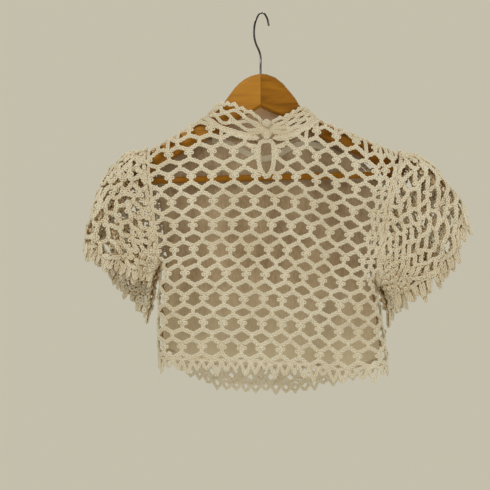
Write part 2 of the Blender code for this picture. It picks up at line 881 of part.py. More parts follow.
def make_button(look):
    collar_y = Collar("back").point(*BUTTON_ON_COLLAR)[1]
    ring = []
    for k in range(LOOP_STEPS):
        turn = 2 * math.pi * k / LOOP_STEPS
        x = BUTTON_X + LOOP_HALF_WIDTH * math.cos(turn)
        z = LOOP_Z + LOOP_HALF_HEIGHT * math.sin(turn)
        ring.append(np.array((x, collar_y, z)))
    tube("button_loop", ring, LOOP_STRAND, STRAND_SIDES, look, closed=True)
    button = bmesh.new()
    bmesh.ops.create_uvsphere(
        button, u_segments=BUTTON_SEGMENTS, v_segments=BUTTON_RINGS, radius=1.0
    )
    middle_front = collar_y - LOOP_STRAND - SEAM_GAP - BUTTON_HALF_THICKNESS
    for vert in button.verts:
        x, y, z = vert.co
        vert.co = Vector((x * BUTTON_RADIUS, z * BUTTON_HALF_THICKNESS, y * BUTTON_RADIUS))
        vert.co += Vector((BUTTON_X, middle_front, BUTTON_Z))
    points = [tuple(v.co) for v in button.verts]
    faces = [[v.index for v in f.verts] for f in button.faces]
    button.free()
    add_object("button", points, faces, look)
    corners = []
    count = len(TAB_OUTLINE)
    for y in (collar_y - TAB_HALF_THICKNESS, collar_y + TAB_HALF_THICKNESS):
        for share_x, share_z in TAB_OUTLINE:
            x = BUTTON_X + share_x * TAB_HALF_WIDTH
            corners.append((x, y, TAB_BOTTOM_Z + share_z * (TAB_TOP_Z - TAB_BOTTOM_Z)))
    walls = [list(range(count)), list(range(2 * count - 1, count - 1, -1))]
    for i in range(count):
        j = (i + 1) % count
        walls.append([i, j, j + count, i + count])
    add_object("button_tab", corners, walls, look)


def board_ring(x):
    """The board's section at x: a flat board with a round upper edge."""
    top, bottom = column(BOARD_TOP, 1, x), column(BOARD_BOTTOM, 1, x)
    half = min(BOARD_HALF_THICKNESS, 0.5 * (top - bottom))
    y = middle_y(x, top, soft=0.0)
    low = min(BOARD_BEVEL, BOARD_BEVEL_SHARE * (top - bottom))
    ring = []
    for turn in BOARD_ROUND_TURNS:
        a = math.radians(turn)
        ring.append((x, y + half * math.cos(a), top - half + half * math.sin(a)))
    ring.append((x, y - half, bottom + low))
    ring.append((x, y - half + low, bottom))
    ring.append((x, y + half - low, bottom))
    ring.append((x, y + half, bottom + low))
    return ring


def make_board(hand, look):
    """One half of the hanger, from the joint at the hook to its tip."""
    inner = HANGER_X + (JOINT_GAP if hand == "right" else -JOINT_GAP)
    tip = BOARD_TIP[hand]
    ends = {"left": (tip + STATION_FROM_TIP, inner - STATION_FROM_JOINT)}
    ends["right"] = (inner + STATION_FROM_JOINT, tip - STATION_FROM_TIP)
    first, last = ends[hand]
    stations = [inner, tip] + [x for x, _ in BOARD_TOP if first < x < last]
    for x, _ in BOARD_BOTTOM:
        if first < x < last and all(abs(x - station) > STATION_APART for station in stations):
            stations.append(x)
    xs = sorted(stations)
    points = []
    for x in xs:
        points += board_ring(x)
    sides = len(board_ring(xs[0]))
    faces = [list(range(sides)), [(len(xs) - 1) * sides + j for j in reversed(range(sides))]]
    for k in range(len(xs) - 1):
        for j in range(sides):
            a, b = k * sides + j, k * sides + (j + 1) % sides
            faces.append([a, b, b + sides, a + sides])
    add_object(f"hanger_board_{hand}", points, faces, look)


def make_hanger(wood, steel):
    make_board("left", wood)
    make_board("right", wood)
    tube("hanger_bar", [np.array(BAR_LEFT), np.array(BAR_RIGHT)], BAR_RADIUS, BAR_SIDES, wood)
    stem = np.array((HANGER_X, BOW_START))
    way = np.array((math.cos(HOOK_TURN), math.sin(HOOK_TURN)))
    flat = smooth_line(HOOK, HOOK_STEPS)
    line = [np.array((*(stem + way * p[0]), p[1])) for p in flat]
    tube("hanger_hook", line, HOOK_WIRE, HOOK_SIDES, steel)


def build():
    for thing in list(bpy.data.objects):
        bpy.data.objects.remove(thing, do_unlink=True)
    net = material("cream_net", CREAM, 0.9)
    lining = material("nude_lining", NUDE, 0.8)
    wood = material("honey_wood", HONEY, 0.35)
    steel = material("dark_steel", STEEL, 0.25, 1.0)
    back = make_panel("back", net)
    front = make_panel("front", net)
    make_lining(front, lining)
    make_hem(back, net)
    make_hem(front, net)
    for hand in ("left", "right"):
        for side in ("back", "front"):
            make_cuff(make_sleeve(hand, side, net), net)
    reach = COLLAR_TOP_RADIUS
    left_end = math.asin((SLIT_LEFT - COLLAR_X) / reach) / (0.5 * math.pi)
    right_start = math.asin((SLIT_RIGHT - COLLAR_X) / reach) / (0.5 * math.pi)
    for name, start, end in (
        ("back_left", -1.0, left_end),
        ("back_right", right_start, 1.0),
        ("front", -1.0, 1.0),
    ):
        make_collar(f"collar_{name}", name.split("_")[0], start, end, COLLAR_STEPS[name], net)
    make_keyhole(back, net)
    make_button(net)
    make_hanger(wood, steel)


build()
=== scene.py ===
"""High neck crochet top on a wooden hanger: the yarn, lining, wood and steel that show.

Every strand is a chain of thin plies that lies on the garment's own surface. A net is given by
repeats across and rounds down, as the garment is worked, and its surface turns them into places.
The tables are in millimetres in the part's frame, and MM turns them into metres.
"""

import math

import bpy
import numpy as np
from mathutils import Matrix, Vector


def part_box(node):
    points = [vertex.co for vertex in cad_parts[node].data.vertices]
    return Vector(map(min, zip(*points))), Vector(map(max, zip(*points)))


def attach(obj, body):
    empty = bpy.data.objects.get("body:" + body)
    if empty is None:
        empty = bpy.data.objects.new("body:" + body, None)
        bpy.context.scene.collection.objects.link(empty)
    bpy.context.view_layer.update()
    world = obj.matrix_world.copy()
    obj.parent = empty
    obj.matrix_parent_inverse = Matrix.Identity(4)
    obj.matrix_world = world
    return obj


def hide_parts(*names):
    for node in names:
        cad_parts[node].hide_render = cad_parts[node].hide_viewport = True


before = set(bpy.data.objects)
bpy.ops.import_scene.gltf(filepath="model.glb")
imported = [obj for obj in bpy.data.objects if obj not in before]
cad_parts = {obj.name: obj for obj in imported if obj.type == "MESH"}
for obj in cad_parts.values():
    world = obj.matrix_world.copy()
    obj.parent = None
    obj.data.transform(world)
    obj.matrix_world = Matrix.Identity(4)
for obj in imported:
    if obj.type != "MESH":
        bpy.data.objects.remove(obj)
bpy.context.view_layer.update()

MM = 0.001
TURN = 2 * math.pi
# The sign of Y that points outward from each side of the garment
OUT = {"back": -1, "front": 1}

# The plies of a chain
PLY_RADIUS = 1.38
PLY_ACROSS = 2.35
PLY_DEPTH = 0.9
PLY_PERIOD = 16.0
PLY_STEP = 2.25
PLY_SIDES = 5
PLIES = 3
END_TAPER = 4.0
SMOOTH_STEPS = 8

# The net: one repeat has one bell-shaped gap, and a round is one row of repeats
ROUNDS = 9
ROUND_HEIGHT = 35.6
FIRST_ROUND_Z = -194.4
COLUMNS = {"back": (-5.5, 7.5), "front": (-6.5, 6.5)}
UPPER_ROUNDS = 4
# How fine a panel's table is: steps a round and steps a repeat
ROW_STEPS = 4
COLUMN_STEPS = 8

# A round's two strands, in shares of its height: the upper one's peak and foot, then the lower
# one's. The sleeves' net is pushed together, so its strands stand up.
BODY_SHAPE = (0.11, 0.29, 0.70, 0.89)
SLEEVE_SHAPE = {"left": (0.10, 0.29, 0.60, 0.80), "right": (0.10, 0.36, 0.62, 0.90)}
KNOT_REACH = 0.13
PICOT_ACROSS = 4.3
PICOT_DOWN = 0.44
PICOT_RADIUS = 2.0
PICOT_LEAN = 0.3
PICOT_STEPS = 9

# How far hand work wanders: in repeats and rounds, in height off the cloth, and its seed
BODY_UNEVEN = {"back": (0.045, 0.9, 2.0), "front": (0.045, 0.9, 6.0)}
SLEEVE_UNEVEN = (0.17, 2.4)
CUFF_UNEVEN = (0.05, 1.2, 4.0)
HEM_UNEVEN = (0.03, 0.7, 8.0)

# Shoulder line and neckline of both panels: (x, z)
SHOULDER = ((-173, -205), (-88, -155), (-40, -120), (-3, -100), (40, -122), (82, -158), (205, -209))
NECKLINE = ((-88, -155), (-70, -170), (-40, -183), (0, -189), (40, -184), (66, -171), (82, -158))
NECK_LEFT = -88
NECK_RIGHT = 82
LEAST_YOKE = 8.0

# Armholes and side seams: (z, left x, right x)
SIDES = (
    (-530, -156, 186), (-490, -158.6, 182), (-430, -158, 174), (-402, -156.5, 167),
    (-376, -155, 168.5), (-330, -160, 174), (-290, -165, 181), (-252, -170, 190),
    (-200, -173, 206),
)
UNDERARM_Z = {"left": -376, "right": -402}

# How far the rounds sag towards the right: (x, first rounds, last rounds)
SAG = (
    (-160, 6, 0), (-100, 0, 0), (0, 0, 2), (50, 1.5, 6), (80, 7, 12), (105, 11, 14),
    (133, 19, 14), (165, 27, 12), (205, 30, 12),
)
# How much lower the front hem hangs than the back hem: (x, drop)
FRONT_DROP = (
    (-158, 0), (-140, 5), (-120, 20), (-97, 32), (-80, 40), (-50, 45), (0, 47), (50, 44),
    (95, 26), (126, 22), (157, 14), (186, 0),
)
DROP_POWER = 1.5
# The centre back line drifts to the left as the net twists: (round, x)
CENTRE_BACK = ((0.5, 3.5), (1.5, 3.5), (2.5, 0.8), (3.5, -3.3), (4.5, -8.6), (6.5, -15.6), (9, -20))
# Repeat width of the back, right of its centre: (round, width)
REPEAT_WIDTH = ((0, 30.2), (2.5, 29.3), (5, 28.0), (9, 28.5))
RIGHT_EVEN_COLUMNS = 5.5

# Half the depth between the back and front walls: (z, half depth)
HALF_DEPTH = ((-530, 32), (-400, 29), (-300, 27.5), (-245, 27), (-200, 23), (-150, 20))
TOP_ROLL = 26.0
SIDE_ROLL = 30.0
LEAST_DEPTH = 0.2
# The hanger bows the garment towards its front
BOW_START = -8.0
BOW_RISE = 20.0
BOW_REACH = 222.0
BOW_SOFT = 30.0
BOW_HEM_SHARE = 0.6
BOW_HEM_Z = -530
BOW_FULL_Z = -250
HANGER_X = -4.65
# Soft folds of the panels: (x, z, half width, half length, depth)
FOLDS = {
    "back": (
        (-118, -345, 16, 90, 3.0), (-70, -430, 20, 110, -2.5), (20, -470, 22, 80, 2.5),
        (96, -400, 17, 110, -3.0), (140, -350, 14, 80, 3.5),
    ),
    "front": (
        (-110, -360, 18, 110, 3.0), (-45, -470, 22, 90, -3.0), (35, -420, 18, 120, 2.5),
        (105, -480, 20, 80, 3.5), (138, -330, 14, 70, -2.5),
    ),
}

# Sleeves. The outer fold runs from the shoulder tip to the cuff: (x, z)
SLEEVE_FOLD = {
    "left": (
        (-173, -205), (-201, -208), (-222, -224), (-240, -247), (-253, -278), (-260, -310),
        (-268, -340),
    ),
    "right": ((205, -209), (229, -211), (249, -223), (266, -242), (280, -263), (295, -281)),
}
# How far the cuff bows out, and the inner edge from the underarm to the cuff: (x, z)
SLEEVE_INNER = {
    ("left", "back"): (6.0, ((-155, -376), (-159, -381), (-163, -387))),
    ("left", "front"): (4.0, ((-155, -376), (-165, -408), (-172, -446))),
    ("right", "back"): (28.0, ((167, -402), (178, -411), (190, -420))),
    ("right", "front"): (14.0, ((167, -402), (184, -428), (189, -447))),
}
SLEEVE_FLARE = 0.3
CUFF_INNER_OPEN = 0.55
RUFFLE_WAVES = 3
RUFFLE_DEPTH = 5.0
# A sleeve's rounds run outward from the armhole. The first ones end on the outer fold, up to a
# share of the armhole, and the rest on the cuff, sooner where the power is high.
SLEEVE_REPEATS = {"left": 5, "right": 6}
SLEEVE_ROUNDS = {"left": 6, "right": 7}
SLEEVE_FOLD_SHARE = {"left": 0.5, "right": 0.12}
SLEEVE_DROOP = {"left": 1.3, "right": 2.6}
SLEEVE_START = 0.03
# The gathered cloth lies in two layers: shift in repeats and rounds, lift, plies, thickness
SLEEVE_LAYERS = {
    "back": ((0.0, 0.0, 1.0, 3, 1.0), (0.5, 0.45, -7.5, 2, 1.25)),
    "front": ((0.0, 0.3, 1.0, 3, 1.0), (0.5, 0.75, -7.5, 2, 1.25)),
}
SLEEVE_SCALE = {"left": 1.1, "right": 0.99}
SLEEVE_LIFT = 0.6
FOLD_WANDER = 0.006

# The cuff's fingers: hairpins given as (share of half width, share of length), in one row on its
# edge and a longer one behind: (where in a step, length, hang, inset)
CUFF_STEPS = 10.0
CUFF_SCALE = 0.9
TABS = 16
TAB_ROWS = ((0.5, 1.0, 1.0, 0.0), (1.0, 1.35, 1.6, 4.0))
TAB_LENGTH = {"left": 14.0, "right": 18.0}
TAB_HALF_WIDTH = 2.1
TAB_SCALE = 0.72
TAB_LINE = ((-1, 0), (-1.1, 0.5), (-0.8, 0.88), (0, 1.0), (0.8, 0.88), (1.1, 0.5), (1, 0))
HANG = {"left": 0.8, "right": 1.4}

# Collar: (x, z) of its scalloped top, and its ring
COLLAR_TOP = {
    "back": (
        (-80, -150), (-72, -141), (-64, -137.5), (-45, -139), (-36, -145), (-20, -152),
        (-4, -161), (10, -164), (30, -159), (50, -147), (58, -143), (66, -146), (74, -151),
    ),
    "front": ((-80, -150), (-60, -138), (-30, -130), (0, -127), (30, -130), (55, -138), (74, -151)),
}
COLLAR_X = -3.0
COLLAR_BASE_RADIUS = 84.5
COLLAR_TOP_RADIUS = 73.0
COLLAR_DEPTH = 24.0
COLLAR_SQUARENESS = 0.7
# Rows of a collar part: (share of its height, swing of its waves, lift)
OPEN_ROWS = ((0.03, 0.02, 0.0), (0.27, 0.09, 0.6), (0.50, -0.09, 0.2), (0.72, 0.09, 0.8))
DENSE_ROWS = (
    (0.03, 0.01, 0.0), (0.18, 0.05, 0.6), (0.34, -0.05, 0.2), (0.50, 0.06, 0.8),
    (0.64, -0.05, 0.3), (0.78, 0.06, 0.7),
)
# Parts of the collar: (name, side, from, to, slit, repeats, rows)
COLLAR_PARTS = (
    ("collar_back_left", "back", -1.0, 0.03, 0.03, 3, OPEN_ROWS),
    ("collar_back_right", "back", 0.08, 1.0, 0.08, 3, DENSE_ROWS),
    ("collar_front", "front", -1.0, 1.0, None, 7, OPEN_ROWS),
)
# The heights between which a collar part's posts stand, by turns
COLLAR_POSTS = ((0.6, 0.86), (0.2, 0.42))
COLLAR_SCALE = 0.78
# The scalloped top row: its foot and how far its scallops rise
COLLAR_EDGE = 0.91
COLLAR_EDGE_RISE = 0.09
# Near the slit the rows draw together towards the button
COLLAR_DRAW = 0.22
COLLAR_TOP_DRAW = 0.1
COLLAR_WAIST = 0.42

# The hem's edging: its thickness and how far above the last round's line it runs
HEM_SCALE = 0.8
HEM_ABOVE = 0.04
# Close rows in the front's last round, where the lining is short: (round, phase)
HEM_ROWS = ((8.42, 0.0), (8.6, 3.14), (8.8, 0.0))
HEM_ROW_REACH = 4.6
HEM_ROW_SWING = 0.07
SCALLOP_LENGTH = {"back": 15.0, "front": 10.0}
SCALLOP_UNEVEN = {"back": 0.35, "front": 0.2}
# A scallop's points: where in the repeat, share of its length and share of its lift
SCALLOP_ACROSS = np.array((-0.25, -0.16, 0.0, 0.16, 0.25))
SCALLOP_LIFT = np.array((0, 0.6, 1, 0.6, 0))

# Keyhole: one half of the strand round it as (repeats across, rounds down)
KEYHOLE_HALF = (
    (0.0, -0.05), (0.24, 0.0), (0.35, 0.24), (0.36, 0.75), (0.29, 1.14), (0.13, 1.38), (0.0, 1.49),
)
KEYHOLE_SCALE = 1.05
# Short rows beside it: (round, how far they reach in repeats)
KEYHOLE_ROWS = ((-0.1, 0.95), (0.2, 0.9))
# How far from the centre the keyhole stops a strand, in repeats, by round and strand
KEYHOLE_GAPS = {(-1, 0): 0.5, (-1, 1): 0.5, (0, 0): 0.42, (0, 1): 0.36, (1, 0): 0.22}
BUTTON_X = 3.5
BUTTON_CLEAR = 9.0
BUTTON_RADIUS = 6.4
BUTTON_HALF_THICKNESS = 3.2
BUTTON_TURNS = 2.6
BUTTON_SCALE = 0.62
# Half the thickness of the loop's strand, and where the tab's chains lie from it
STRAND_INSET = 1.7
TAB_AHEAD = 1.4
TAB_BELOW = 6.5
TAB_ABOVE = 2.0
LOOP_SCALE = 0.6
TAB_CHAIN_SCALE = 0.66
# The way that all at the button faces, a hair off level
BEHIND = (0.0, -1.0, 0.001)

# The lining: how deep it lies inside the front, at the middle and sides, and where that changes
LINING_INSET = (5.4, 6.2)
LINING_INSET_TURN = (5.0, 5.8)
# Its last column, half its wall, and its rows and columns of points
LINING_SIDE = 6.25
HALF_WALL = 0.4
LINING_GRID = (61, 91)
# Its hem round, at the middle and sides, and where it drops
LINING_HEM = (8.3, 8.7)
LINING_HEM_TURN = (2.6, 4.6)
# Its scooped top edge: (repeat, round)
LINING_TOP = (
    (-5.9, 0.5), (-5.5, 0.2), (-4.5, -0.2), (-3.5, -0.35), (-2.5, -0.35), (-1.5, 0.15),
    (-0.5, 0.5), (0.5, 0.2), (1.5, -0.3), (2.5, -0.35), (3.5, -0.3), (4.5, 0.0), (5.5, 0.5),
    (5.9, 0.8),
)
# The ribbed band along the scoop
BAND_REACH = 3.1
BAND_COLUMNS = 601
BAND_ROUNDS = (-0.02, 0.25)
RIB_DEPTH = 0.45
RIB_COLUMNS = 6
# The facing inside the yoke and the front collar
YOKE_INSET = 4.2
YOKE_OVERLAP = 26.0
YOKE_EDGE = 4.0
YOKE_ENDS = (-160.0, 186.0)

NORMAL_INSET = 0.03
NET_BELOW_TOP = 0.8
POST_START = 3.0
POST_SCALE = 0.9
SIDE_SCALE = 0.75
# How far below the upper edge the chains run along the neckline and over the shoulders
NECK_CHAIN_BELOW = 2.6
SHOULDER_CHAIN_BELOW = 0.15
SHOULDER_CHAIN_DROP = 1.1
SHOULDER_ENDS = (-172.0, 204.0)

# Lacquered wood: (node, look, pale colour, dark colour, slant of its grain)
WOODS = (
    ("hanger_board_left", "wood_left", (0.46, 0.205, 0.014), (0.35, 0.145, 0.007), 0.55),
    # Painted shade: the right board's colours are darker than the left's and the bar's, for the
    # face turned from the light.
    ("hanger_board_right", "wood_right_painted_shade", (0.36, 0.15, 0.009), (0.21, 0.078, 0.003), -0.5),
    ("hanger_bar", "wood_bar", (0.46, 0.20, 0.014), (0.32, 0.13, 0.007), 0.0),
)

CAMERA_PLACE = (-27.9, -1000.0, -346.8)
FIELD_OF_VIEW = math.radians(40.4)
# Area lights: (name, place in metres, size, power, colour)
LIGHTS = (
    ("key", (-0.9, -1.5, 0.75), 1.2, 14.5, (1.0, 0.975, 0.93)),
    ("fill", (1.1, -1.4, -0.6), 1.4, 7, (1.0, 0.985, 0.96)),
    ("rim", (0.2, 1.4, 0.8), 1.2, 13, (1.0, 0.985, 0.96)),
)
LIGHT_TARGET = (0, 0, -0.33)
SURROUND = (0.553, 0.521, 0.412, 1)


def column(table, at, index=1):
    """Reads one column of a table, straight between its rows."""
    rows = np.array(sorted(table), float)
    return np.interp(at, rows[:, 0], rows[:, index])


def distances(line):
    """The distance from a line's start to each of its points."""
    return np.concatenate([[0], np.cumsum(np.linalg.norm(np.diff(line, axis=0), axis=1))])


def unit(vectors):
    """The same vectors with a length of one."""
    return vectors / np.maximum(np.linalg.norm(vectors, axis=-1, keepdims=True), 1e-9)


def grids(*values):
    """The values as arrays of one shape."""
    return np.broadcast_arrays(*(np.asarray(value, float) for value in values))


def halves(first, last):
    """Every whole and half repeat from first to last."""
    return np.arange(math.ceil(first * 2) / 2, last + 0.01, 0.5)


def centres(start, end, count):
    """The middles of equal steps from start to end."""
    return start + (end - start) * (np.arange(count) + 0.5) / count


def round_off(distance, reach):
    """A quarter circle's height: 0 at the edge, 1 from reach inward."""
    share = np.clip(distance / reach, 0.0, 1.0)
    return np.sqrt(1.0 - (1.0 - share) ** 2)


def middle_y(x, z):
    """The surface midway between back and front, bowed by the hanger."""
    away = np.minimum(np.hypot(x - HANGER_X, BOW_SOFT) / BOW_REACH, 1.0)
    share = np.interp(z, [BOW_HEM_Z, BOW_FULL_Z], [BOW_HEM_SHARE, 1.0])
    return BOW_START + BOW_RISE * share * np.sin(0.5 * math.pi * away)


def side_x(hand, z):
    return column(SIDES, z, 1 if hand == "left" else 2)


def top_z(x):
    """The panel's upper edge: the neckline between two shoulder seams."""
    inside = (NECK_LEFT < x) & (x < NECK_RIGHT)
    return np.where(inside, column(NECKLINE, x), column(SHOULDER, x))


def round_z(side, x, v):
    """Height of a round's line: v is 0 at the top of the first round and ROUNDS at the hem."""
    down = v / ROUNDS
    sag = (1 - down) * column(SAG, x) + down * column(SAG, x, 2)
    level = FIRST_ROUND_Z - ROUND_HEIGHT * v - sag
    if side == "front":
        level = level - column(FRONT_DROP, x) * np.maximum(down, 0.0) ** DROP_POWER
    return level


def panel_z(side, x, v):
    """Height at any v. Above the first round the net goes on at its full height."""
    first = np.minimum(round_z(side, x, 0 * x), top_z(x) - LEAST_YOKE)
    second = round_z(side, x, 0 * x + 1)
    upper = first + (second - first) * v
    above = first - ROUND_HEIGHT * v
    return np.where(v < 0, above, np.where(v < 1, upper, round_z(side, x, v)))


def fold_depth(side, x, z):
    """How far the panel's soft folds lift it outward."""
    lift = 0.0 * x
    for fold_x, fold_z, wide, long, depth in FOLDS[side]:
        lift = lift + depth * np.exp(-(((x - fold_x) / wide) ** 2) - ((z - fold_z) / long) ** 2)
    return lift


def panel_place(side, x, z):
    """A point of the panel in space, from its place in the upright plane."""
    nearest = 0 * x + 1000.0
    for hand, sign in (("left", 1), ("right", -1)):
        inward = np.maximum(sign * (x - side_x(hand, z)), 0.0)
        above = np.maximum(z - UNDERARM_Z[hand], 0.0)
        nearest = np.minimum(nearest, np.hypot(inward, above))
    below = column(SHOULDER, x) - z
    rounding = round_off(below, TOP_ROLL) * round_off(nearest, SIDE_ROLL)
    depth = np.maximum((column(HALF_DEPTH, z) + fold_depth(side, x, z)) * rounding, LEAST_DEPTH)
    return np.stack([x, middle_y(x, z) + OUT[side] * depth, z], axis=-1)


def facing_of(place, u, v, turn, step=0.02):
    """Normals of a surface from differences, turned to the side that shows."""
    across = place(u + step, v) - place(u - step, v)
    down = place(u, v + step) - place(u, v - step)
    return unit(np.cross(across, down) * turn)


class Panel:
    """The back or front: c counts repeats across it and v rounds down."""

    def __init__(self, side):
        self.side = side
        self.first, self.last = COLUMNS[side]
        repeats = round(self.last - self.first)
        rows = np.linspace(0, ROUNDS, ROW_STEPS * ROUNDS + 1)
        self.columns = np.linspace(self.first, self.last, COLUMN_STEPS * repeats + 1)
        self.table = np.array([self.row(v) for v in rows])

    def row(self, v):
        """The x of every column along one round, by length along the bowed cloth."""
        left, right = side_x("left", FIRST_ROUND_Z), side_x("right", FIRST_ROUND_Z)
        for _ in range(6):
            left = side_x("left", panel_z(self.side, left, v))
            right = side_x("right", panel_z(self.side, right, v))
        xs = left + (right - left) * 0.5 * (1 - np.cos(np.linspace(0, math.pi, 121)))
        along = distances(panel_place(self.side, xs, panel_z(self.side, xs, 0 * xs + v)))
        if self.side == "front":
            share = (self.columns - self.first) / (self.last - self.first)
            return np.interp(share * along[-1], along, xs)
        centre = np.interp(column(CENTRE_BACK, v), xs, along)
        even = centre + RIGHT_EVEN_COLUMNS * column(REPEAT_WIDTH, v)
        where = [self.first, 0, RIGHT_EVEN_COLUMNS, self.last]
        return np.interp(np.interp(self.columns, where, [0, centre, even, along[-1]]), along, xs)

    def across(self, c, v):
        """The x of repeat c along round v, straight between the table's values."""
        i = np.clip(v, 0, ROUNDS) * ROW_STEPS
        j = (np.clip(c, self.first, self.last) - self.first) * COLUMN_STEPS
        i0 = np.minimum(i.astype(int), len(self.table) - 2)
        j0 = np.minimum(j.astype(int), len(self.columns) - 2)
        i, j = i - i0, j - j0
        upper, lower = (
            self.table[k, j0] * (1 - j) + self.table[k, j0 + 1] * j for k in (i0, i0 + 1)
        )
        return upper * (1 - i) + lower * i

    def point(self, c, v):
        x = self.across(c, v)
        return panel_place(self.side, x, panel_z(self.side, x, v))

    def surface(self, c, v):
        c, v = grids(c, v)
        inside = np.clip(c, self.first + NORMAL_INSET, self.last - NORMAL_INSET)
        return self.point(c, v), facing_of(self.point, inside, v, OUT[self.side])


def point_along(points, share):
    """Points at shares of a polyline's length."""
    line = np.array(points, float)
    along = distances(line)
    return np.stack([np.interp(share, along / along[-1], line[:, k]) for k in range(2)], axis=-1)


class Sleeve:
    """Half a sleeve: s runs from the outer fold to the inner edge, t from armhole to cuff."""

    def __init__(self, hand, side):
        self.hand, self.side = hand, side
        self.turn = -1 if hand == "left" else 1
        self.repeats, self.rounds = SLEEVE_REPEATS[hand], SLEEVE_ROUNDS[hand]

    def point(self, s, t):
        fold, (bow, inner) = SLEEVE_FOLD[self.hand], SLEEVE_INNER[self.hand, self.side]
        start, end = point_along(fold, t), point_along(inner, t)
        chord = end - start
        length = np.linalg.norm(chord, axis=-1)
        out = np.stack([-chord[..., 1], chord[..., 0]], axis=-1) / length[..., None]
        out = np.where(out[..., :1] * self.turn > 0, out, -out)
        flat = start + chord * s[..., None] + out * (bow * t * np.sin(math.pi * s))[..., None]
        top, under = np.array(fold[0], float), np.array(inner[0], float)
        armhole = top + (under - top) * s[..., None]
        shift = side_x(self.hand, armhole[..., 1]) - armhole[..., 0]
        x, z = flat[..., 0] + (1 - t) ** 2 * shift, flat[..., 1]
        inner_round = round_off((1 - s) * length, SIDE_ROLL)
        inner_round = np.hypot(inner_round, CUFF_INNER_OPEN * t * np.sqrt(1 - inner_round**2))
        roll = round_off(s * length, TOP_ROLL)
        depth = column(HALF_DEPTH, z) * (1 + SLEEVE_FLARE * t) * roll * inner_round
        depth = depth + RUFFLE_DEPTH * t * np.sin(TURN * RUFFLE_WAVES * s) * roll
        depth = np.maximum(depth, LEAST_DEPTH)
        return np.stack([x + self.turn, middle_y(x, z) + OUT[self.side] * depth, z], axis=-1)

    def clipped(self, s, t):
        return self.point(np.clip(s, 0, 1), np.clip(t, 0, 1))

    def cloth(self, s, t):
        """Places and normals; past the cuff the cloth runs straight on."""
        s, t = grids(s, t)
        slope = (self.clipped(s, 0 * t + 1) - self.clipped(s, 0 * t + 0.9)) / 0.1
        place = self.clipped(s, t) + slope * np.maximum(t - 1, 0)[..., None]
        inside = np.clip(s, NORMAL_INSET, 1 - NORMAL_INSET)
        turn = -self.turn * OUT[self.side]
        return place, facing_of(self.clipped, inside, np.clip(t, 0.02, 0.98), turn)

    def surface(self, c, v):
        """The net's places: c runs outward from the armhole and v down from the shoulder."""
        c, v = grids(c, v)
        p = np.clip(c / self.repeats, 0, 1)
        q = np.clip(v / self.rounds, 0, 1)
        share = SLEEVE_FOLD_SHARE[self.hand]
        t_out = np.minimum(q / share, 1)
        past = np.clip((q - share) / (1 - share), 0, 1)
        s_out = 1 - (1 - past) ** SLEEVE_DROOP[self.hand]
        return self.cloth(q + (s_out - q) * p, SLEEVE_START + (1 - SLEEVE_START) * t_out * p)

    def rim(self, c, v):
        """Places along the cuff: c runs from the outer fold and v is 0 at the cuff's edge."""
        return self.cloth(c / CUFF_STEPS, 1 + v / CUFF_STEPS)


class Collar:
    """The neck ring: a runs from -1 at the left to 1 at the right, w from its base to its top."""

    def __init__(self, side):
        self.side = side

    def point(self, a, w):
        turn = 0.5 * math.pi * np.clip(a, -1, 1)
        base_x = COLLAR_X + COLLAR_BASE_RADIUS * np.sin(turn)
        base = panel_place(self.side, base_x, top_z(base_x))
        x = COLLAR_X + COLLAR_TOP_RADIUS * np.sin(turn)
        z = column(COLLAR_TOP[self.side], x)
        depth = COLLAR_DEPTH * np.abs(np.cos(turn)) ** COLLAR_SQUARENESS
        top = np.stack([x, middle_y(x, z) + OUT[self.side] * depth, z], axis=-1)
        return base + (top - base) * w[..., None]

    def surface(self, a, w):
        a, w = grids(a, w)
        normal = facing_of(self.point, a, w, 1)
        normal[..., 2] = 0
        normal = np.where(normal[..., 1:2] * OUT[self.side] >= 0, normal, -normal)
        return self.point(a, w), unit(normal)


def ripple(a, b, seed):
    """A smooth uneven value between about -1 and 1."""
    one = np.sin(1.7 * a + 2.9 * b + 1.3 * seed) + np.sin(3.1 * a - 1.9 * b + 2.1 * seed)
    return 0.35 * (one + np.sin(5.3 * a + 4.7 * b + 0.7 * seed))


def even_steps(points, facing):
    """The same line with points at even distances, and its normals."""
    along = distances(points)
    count = max(round(along[-1] / PLY_STEP), 4)
    at = np.linspace(0, along[-1], count + 1)
    both = np.concatenate([points, np.broadcast_to(facing, points.shape)], axis=1)
    made = np.stack([np.interp(at, along, both[:, k]) for k in range(6)], axis=1)
    return made[:, :3], made[:, 3:], at


def smooth(points, closed=False):
    """A Catmull-Rom curve through the given points."""
    given = np.array(points, float)
    n = len(given)
    spans = n if closed else n - 1
    at = np.linspace(0, spans, spans * SMOOTH_STEPS + 1)
    i = np.minimum(at.astype(int), spans - 1)
    t = (at - i)[:, None]
    pick = [(i + k) % n if closed else np.clip(i + k, 0, n - 1) for k in (-1, 0, 1, 2)]
    p0, p1, p2, p3 = (given[p] for p in pick)
    square = (2 * p0 - 5 * p1 + 4 * p2 - p3) * t**2
    return 0.5 * (2 * p1 + (p2 - p0) * t + square + (3 * p1 - p0 - 3 * p2 + p3) * t**3)


def way_of(line, closed):
    """The direction of a line at each of its points."""
    if closed:
        return np.roll(line, -1, axis=0) - np.roll(line, 1, axis=0)
    return np.gradient(line, axis=0)


def show(name, data):
    """A new object in the scene."""
    made = bpy.data.objects.new(name, data)
    bpy.context.scene.collection.objects.link(made)
    return made


